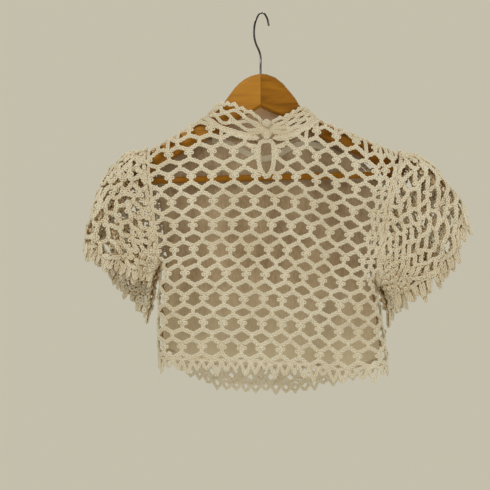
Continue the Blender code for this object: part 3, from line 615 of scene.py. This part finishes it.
class Yarn:
    """Gathers tubes, chains and sheets in millimetres and makes one mesh of them."""

    def __init__(self):
        self.points, self.quads, self.caps = [], [], []
        self.count = 0

    def tube(self, line, facing, radius, closed=False):
        n = len(line)
        way = unit(way_of(line, closed))
        across = unit(np.cross(way, facing))
        up = np.cross(across, way)
        corner = np.arange(PLY_SIDES)
        turn = TURN * corner / PLY_SIDES
        ring = np.cos(turn)[:, None] * across[:, None] + np.sin(turn)[:, None] * up[:, None]
        self.points.append((line[:, None] + ring * radius).reshape(-1, 3))
        first = np.arange(n if closed else n - 1)[:, None] * PLY_SIDES
        a, a2 = first + corner, first + (corner + 1) % PLY_SIDES
        b, b2 = (a + PLY_SIDES) % (n * PLY_SIDES), (a2 + PLY_SIDES) % (n * PLY_SIDES)
        self.quads.append(self.count + np.stack([a, b, b2, a2], axis=-1).reshape(-1, 4))
        if not closed:
            self.caps.append(self.count + corner)
            self.caps.append(self.count + (n - 1) * PLY_SIDES + corner[::-1])
        self.count += n * PLY_SIDES

    def chain(self, points, facing, scale=1.0, closed=False, phase=0.0, plies=PLIES):
        """A crochet chain: plies that weave past each other along the line."""
        line, normal, at = even_steps(points, facing)
        period, taper = PLY_PERIOD, 1.0
        if closed:
            period = at[-1] / max(round(at[-1] / PLY_PERIOD), 1)
            line, normal, at = line[:-1], normal[:-1], at[:-1]
        else:
            taper = np.clip(np.minimum(at, at[-1] - at) / END_TAPER, 0.25, 1)
        side = unit(np.cross(way_of(line, closed), normal))
        for k in range(plies):
            turn = TURN * (at / period + k / plies) + phase
            wide = PLY_ACROSS * scale * np.sin(turn) * taper
            deep = PLY_DEPTH * scale * np.sin(2 * turn) * taper
            ply = line + side * wide[:, None] + normal * deep[:, None]
            self.tube(ply, normal, PLY_RADIUS * scale, closed)

    def lay(self, surface, c, v, scale=1.0, lift=0.0, closed=False, phase=0.0):
        """A chain along given columns and rounds of a surface."""
        points, facing = surface(c, v)
        self.chain(points + facing * lift, facing, scale, closed, phase)

    def ring(self, centre, facing, radius, thick, lean=0.0):
        """A picot: a small closed loop that lies on the cloth."""
        normal = unit(facing)
        across = unit(np.cross(normal, (0.0, 0.0, 1.0)))
        up = np.cross(across, normal)
        turn = TURN * np.arange(PICOT_STEPS)[:, None] / PICOT_STEPS
        line = centre + radius * (np.cos(turn) * (across + normal * lean) + np.sin(turn) * up)
        self.tube(line, normal, thick, closed=True)

    def wall(self, middle, facing, inward=HALF_WALL, outward=HALF_WALL):
        """A thin closed sheet from a grid of points, rows down by columns across."""
        rows, columns = middle.shape[:2]
        grid = np.arange(rows * columns).reshape(rows, columns)
        a = grid[:-1, :-1].ravel()
        front = np.stack([a, a + 1, a + columns + 1, a + columns], axis=1)
        rim = np.concatenate([grid[0], grid[1:, -1], grid[-1, -2::-1], grid[-2:0:-1, 0]])
        after = np.roll(rim, -1)
        edge = np.stack([after, rim, rim + grid.size, after + grid.size], axis=1)
        self.quads.append(self.count + np.concatenate([front, front[:, ::-1] + grid.size, edge]))
        both = np.concatenate([middle + facing * outward, middle - facing * inward])
        self.points.append(both.reshape(-1, 3))
        self.count += 2 * grid.size

    def make(self, name, look, node=None):
        points = np.concatenate(self.points) * MM
        quads = np.concatenate(self.quads)
        sizes = np.array([4] * len(quads) + [PLY_SIDES] * len(self.caps))
        loops = np.concatenate([quads.ravel(), np.array(self.caps, int).ravel()]).astype(np.int32)
        starts = np.concatenate([[0], np.cumsum(sizes)[:-1]]).astype(np.int32)
        mesh = bpy.data.meshes.new(name)
        mesh.vertices.add(len(points))
        mesh.vertices.foreach_set("co", points.astype(np.float32).ravel())
        mesh.loops.add(len(loops))
        mesh.loops.foreach_set("vertex_index", loops)
        mesh.polygons.add(len(sizes))
        mesh.polygons.foreach_set("loop_start", starts)
        mesh.polygons.foreach_set("use_smooth", np.full(len(sizes), True))
        mesh.update(calc_edges=True)
        mesh.materials.append(look)
        made = show(name, mesh)
        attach(made, "root")
        if node:
            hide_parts(node)
        return made


class Uneven:
    """A surface whose chains wander a little, as hand work does.

    The whole of it can be shifted in repeats and rounds and off the cloth.
    """

    def __init__(self, surface, wander, lift, seed, shift=(0.0, 0.0, 0.0)):
        self.base, self.wander, self.lift, self.seed = surface, wander, lift, seed
        self.across, self.down, self.off = shift

    def __call__(self, c, v):
        c, v = grids(c + self.across, v + self.down)
        place, facing = self.base(
            c + self.wander * ripple(c, 1.3 * v, self.seed),
            v + self.wander * ripple(1.1 * c, v, self.seed + 5),
        )
        raised = self.lift * ripple(1.9 * c, 2.3 * v, self.seed + 9)
        return place + facing * raised[..., None] + facing * self.off, facing


def bend(c, straight=0.0):
    """0 at the middle of a repeat and 1 at its ends, partly straight between them."""
    away = np.abs(c - np.round(c)) * 2
    return straight * away + (1 - straight) * (0.5 - 0.5 * np.cos(math.pi * away))


def arch(c, shape):
    """How far below its round's line the upper strand runs."""
    return shape[0] + (shape[1] - shape[0]) * bend(c)


def arms(c, shape):
    """How far below its round's line the lower strand runs."""
    return shape[3] - (shape[3] - shape[2]) * bend(c, 0.5)


def kept(points, facing, allowed):
    """The unbroken stretches of a line where it is allowed."""
    ends = np.flatnonzero(np.diff(np.concatenate([[0], allowed, [0]]))).reshape(-1, 2)
    return [(points[a:b], facing[a:b]) for a, b in ends if b - a > 4]


def everywhere(points):
    return np.ones(len(points), bool)


def net(
    yarn, surface, first, last, rows, slit=None, allowed=everywhere,
    lift=0.5, scale=1.0, shape=BODY_SHAPE, plies=PLIES,
):
    """Rounds of arches and arms with posts, knots and picots between them."""
    slit = slit or {}
    for row in rows:
        for part, strand in enumerate((arch, arms)):
            reach = slit.get((row, part))
            for start, end in ((first, -reach), (reach, last)) if reach else ((first, last),):
                c = np.linspace(start, end, max(int((end - start) * 24), 6))
                points, facing = surface(c, row + strand(c, shape))
                raised = facing * (lift if part else -lift)
                for line, normal in kept(points + raised, facing, allowed(points)):
                    yarn.chain(line, normal, scale, phase=row + 0.9 * part, plies=plies)
        for c in halves(first, last):
            if abs(c) < slit.get((row, 0), 0):
                continue
            knot = c == round(c)
            v = (-KNOT_REACH, KNOT_REACH, 6) if knot else (shape[1], shape[2], 9)
            points, facing = surface(c, row + np.linspace(*v))
            if not allowed(points).all():
                continue
            yarn.chain(points + facing * lift, facing, scale, phase=c + row, plies=plies)
            if knot:
                continue
            place, normal = surface(c, row + PICOT_DOWN)
            way = unit(surface(c + 0.1, row + PICOT_DOWN)[0] - place)
            for sign in (-1, 1):
                centre = place + way * sign * PICOT_ACROSS * scale + normal * lift
                lean = PICOT_LEAN * sign
                yarn.ring(centre, normal, PICOT_RADIUS * scale, PLY_RADIUS * scale, lean)


def fill(tree, node, **inputs):
    """Gives a node's inputs, by name, their values or the sockets that feed them."""
    for name, value in inputs.items():
        socket = node.inputs[name.replace("_", " ")]
        if isinstance(value, bpy.types.NodeSocket):
            tree.links.new(value, socket)
        else:
            socket.default_value = value
    return node


def add_node(tree, kind, **inputs):
    return fill(tree, tree.nodes.new("ShaderNode" + kind), **inputs)


def mix_colour(tree, low, high, factor):
    """A mix of two colours, or of colour sockets, by a factor socket."""
    node = add_node(tree, "Mix")
    node.data_type = "RGBA"
    low, high = ((*end, 1) if isinstance(end, tuple) else end for end in (low, high))
    return fill(tree, node, A=low, B=high, Factor=factor).outputs["Result"]


def noise(tree, scale, detail, stretch=(1, 1, 1), turn=(0, 0, 0), distortion=0.0):
    """Noise in the part's own coordinates."""
    place = add_node(tree, "TexCoord").outputs["Object"]
    turned = add_node(tree, "Mapping", Vector=place, Rotation=turn, Scale=stretch)
    made = add_node(tree, "TexNoise", Scale=scale, Detail=detail, Distortion=distortion)
    return fill(tree, made, Vector=turned.outputs["Vector"]).outputs["Fac"]


def ramp(tree, value, low, high, to_low=0.0, to_high=1.0):
    """Stretches the part of a value between low and high."""
    ends = {"From_Min": low, "From_Max": high, "To_Min": to_low, "To_Max": to_high}
    return add_node(tree, "MapRange", Value=value, **ends).outputs["Result"]


def bump(tree, height, distance, strength, **under):
    node = add_node(tree, "Bump", Height=height, Distance=distance, Strength=strength, **under)
    return node.outputs["Normal"]


def new_material(name, **values):
    """A material and its tree, with values for the inputs of its shader."""
    made = bpy.data.materials.new(name)
    made.use_nodes = True
    return cover(made, Coat_Roughness=0.25, **values), made.node_tree


def cover(made, **inputs):
    """Fills the inputs of a material's shader and returns the material."""
    fill(made.node_tree, made.node_tree.nodes["Principled BSDF"], **inputs)
    return made


def yarn_material():
    """Cream cotton: soft fibres, slightly uneven dye, and painted shade that makes it warmer and
    darker deep between the strands.
    """
    made, tree = new_material("cream_cotton", Roughness=0.88, Sheen_Weight=0.35)
    broad = ramp(tree, noise(tree, 14, 3), 0.35, 0.65)
    dyed = mix_colour(tree, (0.66, 0.605, 0.47), (0.755, 0.715, 0.59), broad)
    # Painted shade: where ambient occlusion finds strands close together, the colour turns to a
    # darker warm tan.
    shade_ao = add_node(tree, "AmbientOcclusion", Distance=0.020)
    shade_ao.samples = 4
    unshaded_share = ramp(tree, shade_ao.outputs["AO"], 0.15, 0.72)
    colour = mix_colour(tree, (0.62, 0.41, 0.155), dyed, unshaded_share)
    return cover(made, Base_Color=colour, Normal=bump(tree, noise(tree, 1900, 4), 0.0005, 0.7))


def lining_material():
    """Nude jersey: fine vertical wales, painted fold shade in broad patches, and painted light that
    makes it paler low down and at the neck.
    """
    made, tree = new_material("nude_jersey", Roughness=0.75, Sheen_Weight=0.25)
    broad = ramp(tree, noise(tree, 14, 4, (1.6, 1, 0.7)), 0.34, 0.66)
    fine = ramp(tree, noise(tree, 260, 5, (1.4, 1, 0.5)), 0.35, 0.65)
    # Painted shade of folds: broad noise mixes a darker shaded tone into the lit one.
    deep = mix_colour(tree, (0.30, 0.205, 0.105), (0.42, 0.30, 0.17), fine)
    plain = mix_colour(tree, (0.56, 0.43, 0.28), (0.70, 0.56, 0.38), fine)
    fold_shaded = mix_colour(tree, deep, plain, broad)
    place = add_node(tree, "TexCoord").outputs["Object"]
    height = add_node(tree, "SeparateXYZ", Vector=place).outputs["Z"]
    # Painted light: the cloth turns paler low down and near the neck.
    low = mix_colour(tree, fold_shaded, (0.74, 0.665, 0.49), ramp(tree, height, -0.38, -0.58))
    colour = mix_colour(tree, low, (0.95, 0.79, 0.60), ramp(tree, height, -0.18, -0.14))
    soft = bump(tree, noise(tree, 90, 3, (1, 1, 0.5)), 0.002, 0.5)
    knit = bump(tree, noise(tree, 900, 2, (1, 1, 0.3)), 0.0005, 0.8, Normal=soft)
    return cover(made, Base_Color=colour, Normal=knit)


def rib_material():
    """The lining's ribbed edge, paler than its cloth."""
    made, tree = new_material("pale_rib", Roughness=0.8, Sheen_Weight=0.25)
    broad = ramp(tree, noise(tree, 60, 3), 0.3, 0.7)
    colour = mix_colour(tree, (0.76, 0.69, 0.54), (0.86, 0.80, 0.66), broad)
    return cover(made, Base_Color=colour, Normal=bump(tree, noise(tree, 1500, 3), 0.0004, 0.6))


def wood_material(name, pale, dark, slant):
    """Lacquered honey wood: long grain with darker streaks."""
    made, tree = new_material(name, Coat_Weight=0.04, Specular_IOR_Level=0.14)
    grain = noise(tree, 1.6, 6, (5, 60, 60), (0, slant, 0), 0.6)
    colour = mix_colour(tree, dark, pale, ramp(tree, grain, 0.32, 0.68))
    rough = ramp(tree, grain, 0.0, 1.0, 0.26, 0.42)
    normal = bump(tree, grain, 0.0004, 0.35)
    return cover(made, Base_Color=colour, Normal=normal, Roughness=rough)


def steel_material():
    """Dark polished wire, with a little wear."""
    made, tree = new_material("dark_wire", Roughness=0.22, Metallic=1.0)
    wear = ramp(tree, noise(tree, 120, 4), 0.4, 0.7)
    colour = mix_colour(tree, (0.045, 0.044, 0.042), (0.15, 0.145, 0.14), wear)
    return cover(made, Base_Color=colour, Normal=bump(tree, noise(tree, 500, 3), 0.0002, 0.3))


def below_top(points):
    """True where a panel's point lies clear below the shoulder seam and neckline."""
    return points[:, 2] < top_z(points[:, 0]) - NET_BELOW_TOP


def make_body(panel, look):
    """The net of one panel, as an upper and a lower piece."""
    surface = Uneven(panel.surface, *BODY_UNEVEN[panel.side])
    slit = KEYHOLE_GAPS if panel.side == "back" else {}
    made = []
    for name, rows in (("upper", range(-2, UPPER_ROUNDS)), ("lower", range(UPPER_ROUNDS, ROUNDS))):
        yarn = Yarn()
        net(yarn, surface, panel.first, panel.last, rows, slit, below_top)
        if name == "upper":
            add_edges(yarn, panel, surface)
            add_posts(yarn, panel, surface)
        made.append(yarn.make(f"net_{panel.side}_{name}", look, f"{panel.side}_panel"))
    return made


def add_edges(yarn, panel, surface):
    """Chains along the sides, the shoulder seams and the neckline."""
    v = np.linspace(0.1, ROUNDS, 400)
    for c in (panel.first + 0.02, panel.last - 0.02):
        yarn.lay(surface, c, v, SIDE_SCALE)
    facing = unit(np.array((0.0, OUT[panel.side], 0.5)))
    ends = (SHOULDER_ENDS[0], NECK_LEFT, NECK_RIGHT, SHOULDER_ENDS[1])
    for start, end in zip(ends, ends[1:]):
        neck = start == NECK_LEFT
        x = np.linspace(start, end, 60)
        stretches = [x]
        if neck and panel.side == "back":
            stretches = [x[x < BUTTON_X - BUTTON_CLEAR], x[x > BUTTON_X + BUTTON_CLEAR]]
        for x in stretches:
            wave = np.sin(0.36 * x)
            if neck:
                place = panel_place(panel.side, x, top_z(x) - NECK_CHAIN_BELOW + wave)
            else:
                place = panel_place(panel.side, x, top_z(x) - SHOULDER_CHAIN_BELOW)
                place[:, 2] -= SHOULDER_CHAIN_DROP + 0.8 * wave
            yarn.chain(place, facing)


def add_posts(yarn, panel, surface):
    """Posts that carry the first strands from the shoulder seams and the neckline."""
    v = np.linspace(-POST_START, 2, 400)
    for c in halves(panel.first, panel.last):
        if panel.side == "back" and abs(c) < 0.6:
            continue
        top = v[np.argmax(below_top(surface(c, v)[0]))]
        strands = BODY_SHAPE[::3] if c == round(c) else BODY_SHAPE[1:3]
        feet = (row + strand for row in range(-4, 3) for strand in strands)
        foot = min(foot for foot in feet if foot > top + 0.03)
        points, facing = surface(c, np.linspace(top, foot, 9))
        x = points[0, 0]
        seam = panel_place(panel.side, x, top_z(x) - SHOULDER_CHAIN_BELOW)
        seam[2] -= SHOULDER_CHAIN_DROP
        points, facing = np.vstack([seam, points]), np.vstack([facing[0], facing])
        yarn.chain(points, facing, POST_SCALE, phase=c)


def make_sleeve(hand, side, look):
    """The net of half a sleeve, crumpled where it is gathered."""
    sleeve = Sleeve(hand, side)
    seed = 3.0 + 2.0 * (side == "front") + (hand == "left")
    scale = SLEEVE_SCALE[hand]
    yarn = Yarn()
    for across, down, lift, plies, thick in SLEEVE_LAYERS[side]:
        layer = Uneven(sleeve.surface, *SLEEVE_UNEVEN, seed + down, (across, down, lift))
        rows = range(-1 if down else 0, sleeve.rounds)
        net(
            yarn, layer, 0.0, float(sleeve.repeats), rows,
            lift=SLEEVE_LIFT, scale=scale * thick, shape=SLEEVE_SHAPE[hand], plies=plies,
        )
    yarn.lay(Uneven(sleeve.surface, *SLEEVE_UNEVEN, seed), 0, np.linspace(0, sleeve.rounds, 160))
    if side == "back":
        points, facing = Uneven(sleeve.cloth, FOLD_WANDER, 0.0, seed)(0, np.linspace(0, 1, 160))
        facing = unit(facing * (1.0, 0.2, 1.0))
        yarn.chain(points - facing, facing, scale)
    return sleeve, yarn.make(f"net_sleeve_{hand}_{side}", look, f"sleeve_{hand}_{side}")


def make_cuff(sleeve, look):
    """A chain along the cuff with finger-like loops."""
    yarn = Yarn()
    surface = Uneven(sleeve.rim, *CUFF_UNEVEN)
    c = np.linspace(0, CUFF_STEPS, 140)
    yarn.lay(surface, c, 0.3 * np.sin(2.2 * c), CUFF_SCALE)
    across, far = np.array(TAB_LINE).T[..., None]
    for k in range(2 * TABS):
        at, longer, lower, inset = TAB_ROWS[k // TABS]
        centre = (k % TABS + at) * CUFF_STEPS / TABS
        root, facing = surface(centre, 0.0)
        ahead, _ = surface(centre, 0.8)
        beside, _ = surface(centre + 0.1, 0.0)
        down = unit(unit(ahead - root) - (0.0, 0.0, HANG[sleeve.hand] * lower))
        side = beside - root
        side = unit(side - down * side.dot(down))
        length = TAB_LENGTH[sleeve.hand] * longer * (1 + 0.18 * math.sin(2.3 * k))
        root = root - facing * inset
        lean = 0.25 * math.sin(1.7 * k + sleeve.rounds)
        pin = root + side * (across * TAB_HALF_WIDTH + lean * far * length)
        pin = pin + down * far * length + facing * 1.5 * math.sin(2.1 * k) * far
        yarn.chain(smooth(pin), facing, TAB_SCALE, phase=k)
    name = f"{sleeve.hand}_{sleeve.side}"
    return yarn.make(f"cuff_edge_{name}", look, f"cuff_{name}")


def make_hem(panel, look):
    """A chain along the hem with pointed scallops."""
    yarn = Yarn()
    surface = Uneven(panel.surface, *HEM_UNEVEN)
    edge = ROUNDS - HEM_ABOVE
    c = np.linspace(panel.first, panel.last, 320)
    yarn.lay(surface, c, edge + HEM_ABOVE * np.cos(2 * TURN * c), HEM_SCALE)
    if panel.side == "front":
        c = np.linspace(-HEM_ROW_REACH, HEM_ROW_REACH, 240)
        for row, phase in HEM_ROWS:
            wave = HEM_ROW_SWING * np.cos(2 * TURN * c + phase)
            yarn.lay(surface, c, row + wave, HEM_SCALE, lift=-1.0)
    count = round((panel.last - panel.first) * 2)
    for k, at in enumerate(centres(panel.first, panel.last, count)):
        place, normal = surface(at + SCALLOP_ACROSS, edge)
        deep = SCALLOP_LENGTH[panel.side] * (1 + SCALLOP_UNEVEN[panel.side] * math.sin(2.0 * k))
        place[:, 2] -= np.array([0.5, 0.5 * deep, deep, 0.5 * deep, 0.5])
        place += normal * (1.2 * math.sin(1.3 * k)) * SCALLOP_LIFT[:, None]
        yarn.chain(smooth(place), normal[2], HEM_SCALE, phase=k)
        if k % 2:
            yarn.ring(place[2] - (0.0, 0.0, 1.5), normal[2], 1.7, 1.1)
    return yarn.make(f"hem_edge_{panel.side}", look, f"hem_{panel.side}")


def make_collar(look, name, side, start, end, slit, repeats, rows):
    """Rows of chain stretched into long flat eyes, under a scalloped top with picots."""
    surface = Collar(side).surface

    def nearness(at, reach):
        """1 at the slit, 0 from reach on and where there is none."""
        return 0 * at if slit is None else np.clip(1 - np.abs(at - slit) / reach, 0, 1)

    yarn = Yarn()
    a = np.linspace(start, end, 60 * repeats)
    share = (a - start) / (end - start)
    for level, swing, lift in rows:
        w = level + swing * np.cos(TURN * share * repeats)
        drawn = COLLAR_WAIST + 0.25 * (level - COLLAR_WAIST)
        w = w + (drawn - w) * nearness(a, COLLAR_DRAW) ** 1.5
        lift = lift + 0.5 * ripple(5 * a, 3 * level, 2.0)
        yarn.lay(surface, a, w, COLLAR_SCALE, lift[:, None], phase=level)
    scallops = 3 * repeats
    w = COLLAR_EDGE + COLLAR_EDGE_RISE * np.abs(np.sin(math.pi * share * scallops))
    w = w + (COLLAR_WAIST + 0.2 - w) * nearness(a, COLLAR_TOP_DRAW) ** 1.3
    yarn.lay(surface, a, w, COLLAR_SCALE, 0.4, phase=0.5)
    for at in centres(start, end, scallops):
        if not nearness(at, COLLAR_TOP_DRAW):
            top, facing = surface(at, 1.01)
            yarn.ring(top + facing * 0.6, facing, 1.9, 1.3)
    for k, at in enumerate(centres(start, end, 2 * repeats)):
        if not nearness(at, COLLAR_DRAW):
            w = np.linspace(*COLLAR_POSTS[k % 2], 6)
            yarn.lay(surface, at, w, COLLAR_SCALE, 0.8, phase=k)
    yarn.make(f"yarn_{name}", look, name)


def make_keyhole(panel, look):
    """The thick strand round the keyhole, and the short rows that meet it."""
    yarn = Yarn()
    left = [(-across, down) for across, down in KEYHOLE_HALF[-2:0:-1]]
    at = smooth([*KEYHOLE_HALF, *left], closed=True)
    yarn.lay(panel.surface, at[:, 0], at[:, 1], KEYHOLE_SCALE, closed=True)
    for sign in (-1, 1):
        for level, reach in KEYHOLE_ROWS:
            yarn.lay(panel.surface, np.linspace(0.4, reach, 12) * sign, level, 0.9)
    yarn.make("yarn_keyhole", look, "keyhole_edging")


def make_button(look):
    """A wound button, its loop and the tab behind them."""

    def add(node, lines, scale, closed=False):
        yarn = Yarn()
        for k, line in enumerate(lines):
            yarn.chain(line, BEHIND, scale, closed, k)
        yarn.make(f"yarn_{node}", look, node)

    low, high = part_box("button")
    share = np.linspace(0, 1, 120)
    angle = TURN * BUTTON_TURNS * share
    radius = (BUTTON_RADIUS - 1.6) * share**0.75
    rise = (BUTTON_HALF_THICKNESS - 1.2) * (1 - share**2)
    coil = np.stack([radius * np.cos(angle), -rise, radius * np.sin(angle)], axis=1)
    add("button", [np.array((low + high) / 2) / MM + coil], BUTTON_SCALE)
    low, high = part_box("button_loop")
    half = np.array((high - low) / 2) / MM - STRAND_INSET
    turn = np.linspace(0, TURN, 60)
    oval = np.stack([half[0] * np.cos(turn), 0 * turn, half[2] * np.sin(turn)], axis=1)
    add("button_loop", [np.array((low + high) / 2) / MM + oval], LOOP_SCALE, closed=True)
    y = low.y / MM + STRAND_INSET - TAB_AHEAD
    low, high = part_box("button_tab")
    z = np.linspace(low.z / MM - TAB_BELOW, high.z / MM + TAB_ABOVE, 14)
    across = centres(low.x, high.x, 3) / MM
    add("button_tab", [np.stack(grids(x, y, z), axis=1) for x in across], TAB_CHAIN_SCALE)


def scoop(c):
    """The round at which the lining's scooped edge crosses a repeat."""
    soft = [column(LINING_TOP, c + shift) for shift in (-0.5, -0.25, 0.0, 0.25, 0.5)]
    return sum(soft) / len(soft)


def lining_inset(c):
    """How far the lining lies inside the front's surface."""
    return np.interp(np.abs(c), LINING_INSET_TURN, LINING_INSET)


def lining_hem(c):
    """The round at which the lining ends, higher in the middle."""
    return np.interp(np.abs(c), LINING_HEM_TURN, LINING_HEM)


def make_lining(panel, cloth, rib):
    """The smooth cloth inside the front, with a ribbed band along its scoop."""
    rows, columns = LINING_GRID
    c = np.linspace(-LINING_SIDE, LINING_SIDE, columns)
    c, v = grids(c, scoop(c) + (lining_hem(c) - scoop(c)) * np.linspace(0, 1, rows)[:, None])
    place, facing = panel.surface(c, v)
    crease = 0.6 * ripple(0.8 * c, 0.25 * v, 4.0) + 0.4 * ripple(2.3 * c, 0.6 * v, 7.0)
    lining = Yarn()
    lining.wall(place - facing * (lining_inset(c) + 0.8 * crease)[..., None], facing)
    made = lining.make("lining", cloth, "front_lining")
    c = np.linspace(-BAND_REACH, BAND_REACH, BAND_COLUMNS)
    c, v = grids(c, scoop(c) + np.linspace(*BAND_ROUNDS, 6)[:, None])
    place, facing = panel.surface(c, v)
    ribs = RIB_DEPTH * np.cos(TURN * np.arange(BAND_COLUMNS) / RIB_COLUMNS)
    swell = np.sin(math.pi * np.linspace(0.08, 0.92, 6))[:, None]
    thick = 0.6 + (0.6 + ribs) * swell
    band = Yarn()
    outer = place - facing * (lining_inset(c) + 0.6)[..., None]
    band.wall(outer, facing, thick[..., None], 0.0)
    return made, band.make("lining_rib", rib)


def make_neck_facing(cloth):
    """The same cloth above the scoop, inside the front yoke and collar."""

    def yoke(x, z):
        return panel_place("front", x, z)

    yarn = Yarn()
    x = np.linspace(*YOKE_ENDS, 90)
    x, z = grids(x, top_z(x) - YOKE_EDGE - YOKE_OVERLAP * np.linspace(0, 1, 9)[:, None])
    facing = facing_of(yoke, x, z, -1, step=0.5)
    yarn.wall(yoke(x, z) - facing * YOKE_INSET, facing)
    a, w = np.meshgrid(np.linspace(-0.93, 0.93, 70), np.linspace(0.86, -0.02, 9))
    place, facing = Collar("front").surface(a, w)
    crease = 0.35 * ripple(6 * a, 2 * w, 3.0)[..., None]
    yarn.wall(place - facing * YOKE_INSET + facing * crease, facing)
    return yarn.make("lining_neck", cloth)


def make_camera():
    lens = bpy.data.cameras.new("camera")
    lens.angle = FIELD_OF_VIEW
    lens.clip_start = 0.01
    lens.clip_end = 20
    made = show("camera", lens)
    made.location = Vector(CAMERA_PLACE) * MM
    made.rotation_euler = (math.radians(90), 0, 0)
    bpy.context.scene.camera = made


def make_light(name, place, size, power, colour):
    lamp = bpy.data.lights.new(name, "AREA")
    lamp.shape = "DISK"
    lamp.size = size
    lamp.energy = power
    lamp.color = colour
    made = show(name, lamp)
    made.location = place
    away = Vector(LIGHT_TARGET) - Vector(place)
    made.rotation_euler = away.to_track_quat("-Z", "Y").to_euler()


def make_stage():
    """A pale floor well below, a pale surround and soft light from the upper left."""
    world = bpy.data.worlds.new("surround")
    world.use_nodes = True
    fill(world.node_tree, world.node_tree.nodes["Background"], Color=SURROUND, Strength=1.0)
    bpy.context.scene.world = world
    bpy.context.scene.view_settings.view_transform = "Standard"
    bpy.ops.mesh.primitive_circle_add(
        vertices=96, radius=0.55, fill_type="NGON", location=(0, 0, -1.25)
    )
    floor = bpy.context.active_object
    floor.name = "floor"
    made, tree = new_material("floor_pale", Roughness=0.9)
    colour = mix_colour(tree, (0.605, 0.594, 0.546), (0.645, 0.634, 0.586), noise(tree, 3, 2))
    floor.data.materials.append(cover(made, Base_Color=colour))
    for row in LIGHTS:
        make_light(*row)


def dress_hanger():
    """Gives the hanger's own solids their wood and steel."""
    looks = [(node, wood_material(*row)) for node, *row in WOODS]
    for node, look in (*looks, ("hanger_hook", steel_material())):
        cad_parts[node].data.materials.clear()
        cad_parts[node].data.materials.append(look)


def build():
    make_camera()
    make_stage()
    cotton, cloth, rib = yarn_material(), lining_material(), rib_material()
    back, front = Panel("back"), Panel("front")
    nets = {panel.side: make_body(panel, cotton) for panel in (back, front)}
    lining, band = make_lining(front, cloth, rib)
    hems = {panel.side: make_hem(panel, cotton) for panel in (back, front)}
    for hand in ("left", "right"):
        for side in ("back", "front"):
            sleeve, made = make_sleeve(hand, side, cotton)
            cuff = make_cuff(sleeve, cotton)
    for row in COLLAR_PARTS:
        make_collar(cotton, *row)
    make_keyhole(back, cotton)
    make_button(cotton)
    neck = make_neck_facing(cloth)
    dress_hanger()


build()
